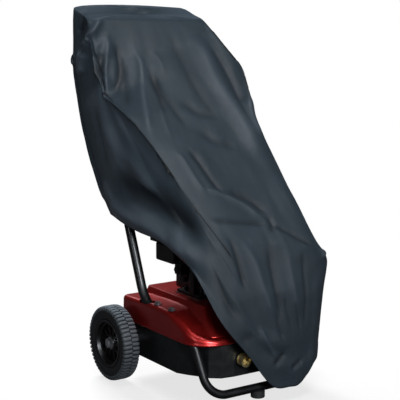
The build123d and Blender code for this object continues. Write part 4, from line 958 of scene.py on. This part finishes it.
def deck_mesh():
    lo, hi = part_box("deck_shell")
    hw, y0, y1 = hi.x * 1000, lo.y * 1000, hi.y * 1000
    out = rounded(hw, y0, y1, 74.0, 22.0, 0)
    n = len(out)
    low = rounded(148, -93 - 183, -93 + 183, 30.0, 30.0, 0)
    high = rounded(114.5, -63.5 - 140.5, -63.5 + 140.5, 12.0, 12.0, 0)
    tang = np.roll(out, -1, 0) - np.roll(out, 1, 0)
    nor = np.stack([-tang[:, 1], tang[:, 0]], 1)
    nor /= np.linalg.norm(nor, axis=1, keepdims=True)
    ctr = out - np.array([0, -90.0])
    flip = (nor * ctr).sum(1) < 0
    nor[flip] *= -1
    y = out[:, 1]
    H = np.interp(-y, [-95, 60, 100, 150, 193, 249, 300], [221, 225.5, 225.5, 222.5, 210.5, 189.0, 171.5])
    R = np.interp(-y, [-95, 120, 200, 260, 300], [10, 11, 16, 20, 13])
    rings = []
    def ring(inset, z, mixto=None):
        p = out - nor * np.asarray(inset).reshape(-1, 1)
        rings.append(np.column_stack([p, np.broadcast_to(z, n)]))
    ring(-0.2, 157.0)
    ring(-0.8, 158.5)
    ring(-0.8, 161.0)
    ring(0.3, 163.0)
    for f in (0.33, 0.66, 1.0):
        ring(0.3 + 1.0 * f, 163.0 + f * (np.maximum(H - R, 163.5) - 163.0))
    for a in (15, 30, 45, 60, 75, 90):
        t = math.radians(a)
        ring(1.3 + R * (1 - math.cos(t)), np.maximum(H - R, 163.5) + (H - np.maximum(H - R, 163.5)) * math.sin(t))
    last = rings[-1].copy()
    # inner edge of the shoulder on the platform's sloping side
    f = np.clip((H - 176) / 64.0, 0.0, 1.0)[:, None]
    foot = low * (1 - f) + high * f
    footz = np.maximum(H, 176.5) + 0.8
    for k in (0.25, 0.5, 0.75, 0.93):
        xy = last[:, :2] * (1 - k) + foot * k
        z = last[:, 2] * (1 - k) + footz * k - 0.8 * math.sin(math.pi * k)
        rings.append(np.column_stack([xy, z]))
    for k in (0.06, 0.25, 0.5, 0.75, 0.92, 0.98, 1.0):
        e = 1 - (1 - k) ** 1.0
        xy = foot * (1 - k) + high * k
        z = footz * (1 - k) + 240.0 * k
        if k > 0.9:
            z = z - (1 - k) * 6
            xy = foot * (1 - k) + high * k
        rings.append(np.column_stack([xy, z]))
    c = np.array([0.0, -63.5])
    for k in (0.02, 0.06, 0.3, 0.6, 0.85):
        xy = high + (c - high) * k
        rings.append(np.column_stack([xy, np.full(n, 240.0 + (0.25 if k > 0.02 else 0.1))]))
    A = np.array(rings) * 0.001
    nr_ = len(A)
    idx = np.arange(nr_ * n).reshape(nr_, n)
    F = []
    for i in range(nr_ - 1):
        for j in range(n):
            F.append((idx[i, j], idx[i, (j + 1) % n], idx[i + 1, (j + 1) % n], idx[i + 1, j]))
    V = A.reshape(-1, 3)
    cap = len(V)
    V = np.vstack([V, [[0, -0.0635, 0.24025]]])
    for j in range(n):
        F.append((idx[-1, j], idx[-1, (j + 1) % n], cap))
    o = new_mesh("deck_shell_painted", V, F)
    bm = bmesh.new()
    bm.from_mesh(o.data)
    bmesh.ops.recalc_face_normals(bm, faces=bm.faces)
    bm.to_mesh(o.data)
    bm.free()
    o.data.shade_smooth()
    s = o.modifiers.new("thick", "SOLIDIFY")
    s.thickness = 0.0026
    s.offset = -1.0
    sub_ = o.modifiers.new("sub", "SUBSURF")
    sub_.levels = sub_.render_levels = 1
    apply_mods(o)
    # openings for the handle tubes
    cutters = []
    for sx in (-1, 1):
        vs, fs = [], []
        m = 40
        for zz in (0.19, 0.25):
            for i in range(m):
                a = 2 * math.pi * i / m
                yy = -0.022 + (0.0148 if math.sin(a) > 0 else -0.0148) + 0.0141 * math.sin(a)
                vs.append((sx * 0.173 + 0.0141 * math.cos(a), yy, zz))
        for i in range(m):
            fs.append((i, (i + 1) % m, m + (i + 1) % m, m + i))
        fs.append(tuple(range(m))[::-1])
        fs.append(tuple(range(m, 2 * m)))
        cobj = new_mesh("slot_cutter_%d" % (sx + 1), vs, fs)
        cutters.append(cobj)
    for cobj in cutters:
        b = o.modifiers.new("slot", "BOOLEAN")
        b.operation = "DIFFERENCE"
        b.solver = "EXACT"
        b.object = cobj
    apply_mods(o)
    for cobj in cutters:
        bpy.data.objects.remove(cobj)
    smooth(o, 50)
    put(o, M["red_paint"])
    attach(o, "chassis")
    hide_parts("deck_shell")
    return o


deck_mesh()

# bevel the crisp edges of the CAD pieces
BEVEL = {
    "base_skirt": 0.0012, "wheel_rim_left": 0.0006, "wheel_rim_right": 0.0006, "frame_bolts": 0.0005, "axle_nuts": 0.0006,
    "engine_plate": 0.0004, "crankcase": 0.0008, "foot_pad": 0.0010, "inlet_swivel": 0.0004, "blower_housing": 0.0008,
    "starter_housing": 0.0008, "muffler_guard": 0.0006, "air_filter_cover": 0.0012, "air_filter_base": 0.0010,
}
for name, width in BEVEL.items():
    o = NODES[name]
    b = o.modifiers.new("edge", "BEVEL")
    b.width = width
    b.segments = 2
    b.limit_method = "ANGLE"
    b.angle_limit = math.radians(38)
    b.harden_normals = False

# ---------------------------------------------------------------- stage
def stage():
    n, half = 16, 14.0
    vs = [(-half + 2 * half * i / n, -half + 2 * half * j / n, 0.0) for j in range(n + 1) for i in range(n + 1)]
    fs = [(j * (n + 1) + i, j * (n + 1) + i + 1, (j + 1) * (n + 1) + i + 1, (j + 1) * (n + 1) + i) for j in range(n) for i in range(n)]
    o = new_mesh("floor", vs, fs)
    m = Mat("studio_floor")
    col = m.ramp(m.noise(1.2, 3, 0.5), [(0.3, (0.86, 0.86, 0.86, 1)), (0.7, (0.89, 0.89, 0.89, 1))])
    m.set("Base Color", col)
    m.set("Roughness", 0.8)
    m.set("Specular IOR Level", 0.1)
    white = m.n("ShaderNodeEmission")
    white.inputs[0].default_value = (1, 1, 1, 1)
    white.inputs[1].default_value = 1.0
    grey = m.n("ShaderNodeBsdfDiffuse")
    grey.inputs[0].default_value = (0.06, 0.06, 0.065, 1)
    ln = m.n("ShaderNodeVectorMath", operation="LENGTH")
    m.link(m.co, ln.inputs[0])
    far = m.range(ln.outputs["Value"], 0.35, 0.75, 0.75, 1.0)
    m1 = m.n("ShaderNodeMixShader")
    m.link(far, m1.inputs[0])
    m.link(m.bsdf.outputs[0], m1.inputs[1])
    m.link(white.outputs[0], m1.inputs[2])
    lp = m.n("ShaderNodeLightPath")
    m2 = m.n("ShaderNodeMixShader")
    m.link(lp.outputs["Is Camera Ray"], m2.inputs[0])
    m.link(grey.outputs[0], m2.inputs[1])
    m.link(m1.outputs[0], m2.inputs[2])
    m.link(m2.outputs[0], m.out.inputs[0])
    o.data.materials.append(m.m)


stage()

az, el = math.radians(-34.0), math.radians(9.0)
right = Vector((math.cos(az), math.sin(az), 0))
back = Vector((math.sin(az) * math.cos(el), -math.cos(az) * math.cos(el), math.sin(el)))
upv = Vector((-math.sin(az) * math.sin(el), math.cos(az) * math.sin(el), math.cos(el)))
cam_d = bpy.data.cameras.new("camera")
cam_d.sensor_fit = "HORIZONTAL"
cam_d.sensor_width = 36.0
cam_d.lens = 96.75
cam_d.clip_start = 0.05
cam = bpy.data.objects.new("camera", cam_d)
bpy.context.scene.collection.objects.link(cam)
cam.matrix_world = Matrix((
    (right.x, upv.x, back.x, -1.6162),
    (right.y, upv.y, back.y, -2.4117),
    (right.z, upv.z, back.z, 0.938),
    (0, 0, 0, 1)))
bpy.context.scene.camera = cam


def area(name, loc, target, size, energy, color=(1, 1, 1), size_y=None):
    d = bpy.data.lights.new(name, "AREA")
    d.energy = energy
    d.color = color
    d.size = size
    if size_y:
        d.shape = "RECTANGLE"
        d.size_y = size_y
    o = bpy.data.objects.new(name, d)
    bpy.context.scene.collection.objects.link(o)
    o.location = loc
    o.rotation_euler = (Vector(target) - Vector(loc)).to_track_quat("-Z", "Y").to_euler()
    return o


def at(r, u, f, ref=(0, 0, 0.5)):
    """Point placed by the camera's own right, up and towards-camera directions, in metres."""
    p = Vector(ref) + right * r + Vector((0, 0, 1)) * u
    b = Vector((back.x, back.y, 0)).normalized()
    return p + b * f


area("key", (-0.15, -0.90, 2.7), (0, -0.05, 0.6), 0.8, 21, (0.95, 0.98, 1.0))
area("front", at(1.7, 0.35, 2.7), (0, 0, 0.25), 0.8, 16, (0.97, 0.98, 1.0))
rear = area("back", at(-0.9, 1.7, -2.2), (0, 0, 0.3), 1.2, 150)
rear.visible_glossy = False
# one more soft box for the fabric alone, and gloss only for the painted and moulded parts
soft_goods = bpy.data.collections.new("fabric_only")
soft_goods.objects.link(cover)
side_box = area("fabric_side", (-1.7, -1.8, 1.9), (0, -0.05, 0.6), 0.7, 23, (0.93, 0.97, 1.0))
side_box.light_linking.receiver_collection = soft_goods
hard = bpy.data.collections.new("not_on_fabric")
hard.objects.link(cover)
hard.collection_objects[0].light_linking.link_state = "EXCLUDE"
for nm, loc, size, energy, size_y in (
        ("left_strip", at(-1.4, 1.0, 2.2), 0.30, 10, 1.4),
        ("rear_gloss", at(-0.9, 1.3, -2.4), 1.2, 7, 1.2),
        ("front_strip", at(0.9, 1.1, 2.9), 1.0, 125, 0.8)):
    strip = area(nm, loc, (0, 0, 0.25), size, energy, (0.88, 0.94, 1.0), size_y)
    strip.visible_diffuse = False
    strip.light_linking.receiver_collection = hard

world = bpy.data.worlds.new("studio")
world.use_nodes = True
wt = world.node_tree
bg = wt.nodes["Background"]
bg.inputs[0].default_value = (1.0, 1.0, 1.0, 1)
lp = wt.nodes.new("ShaderNodeLightPath")
soft = wt.nodes.new("ShaderNodeMapRange")
wt.links.new(lp.outputs["Is Glossy Ray"], soft.inputs[0])
soft.inputs[3].default_value = 0.11
soft.inputs[4].default_value = 0.04
mr = wt.nodes.new("ShaderNodeMapRange")
wt.links.new(lp.outputs["Is Camera Ray"], mr.inputs[0])
wt.links.new(soft.outputs[0], mr.inputs[3])
mr.inputs[4].default_value = 1.0
wt.links.new(mr.outputs[0], bg.inputs[1])
bpy.context.scene.world = world
bpy.context.scene.view_settings.view_transform = "Standard"
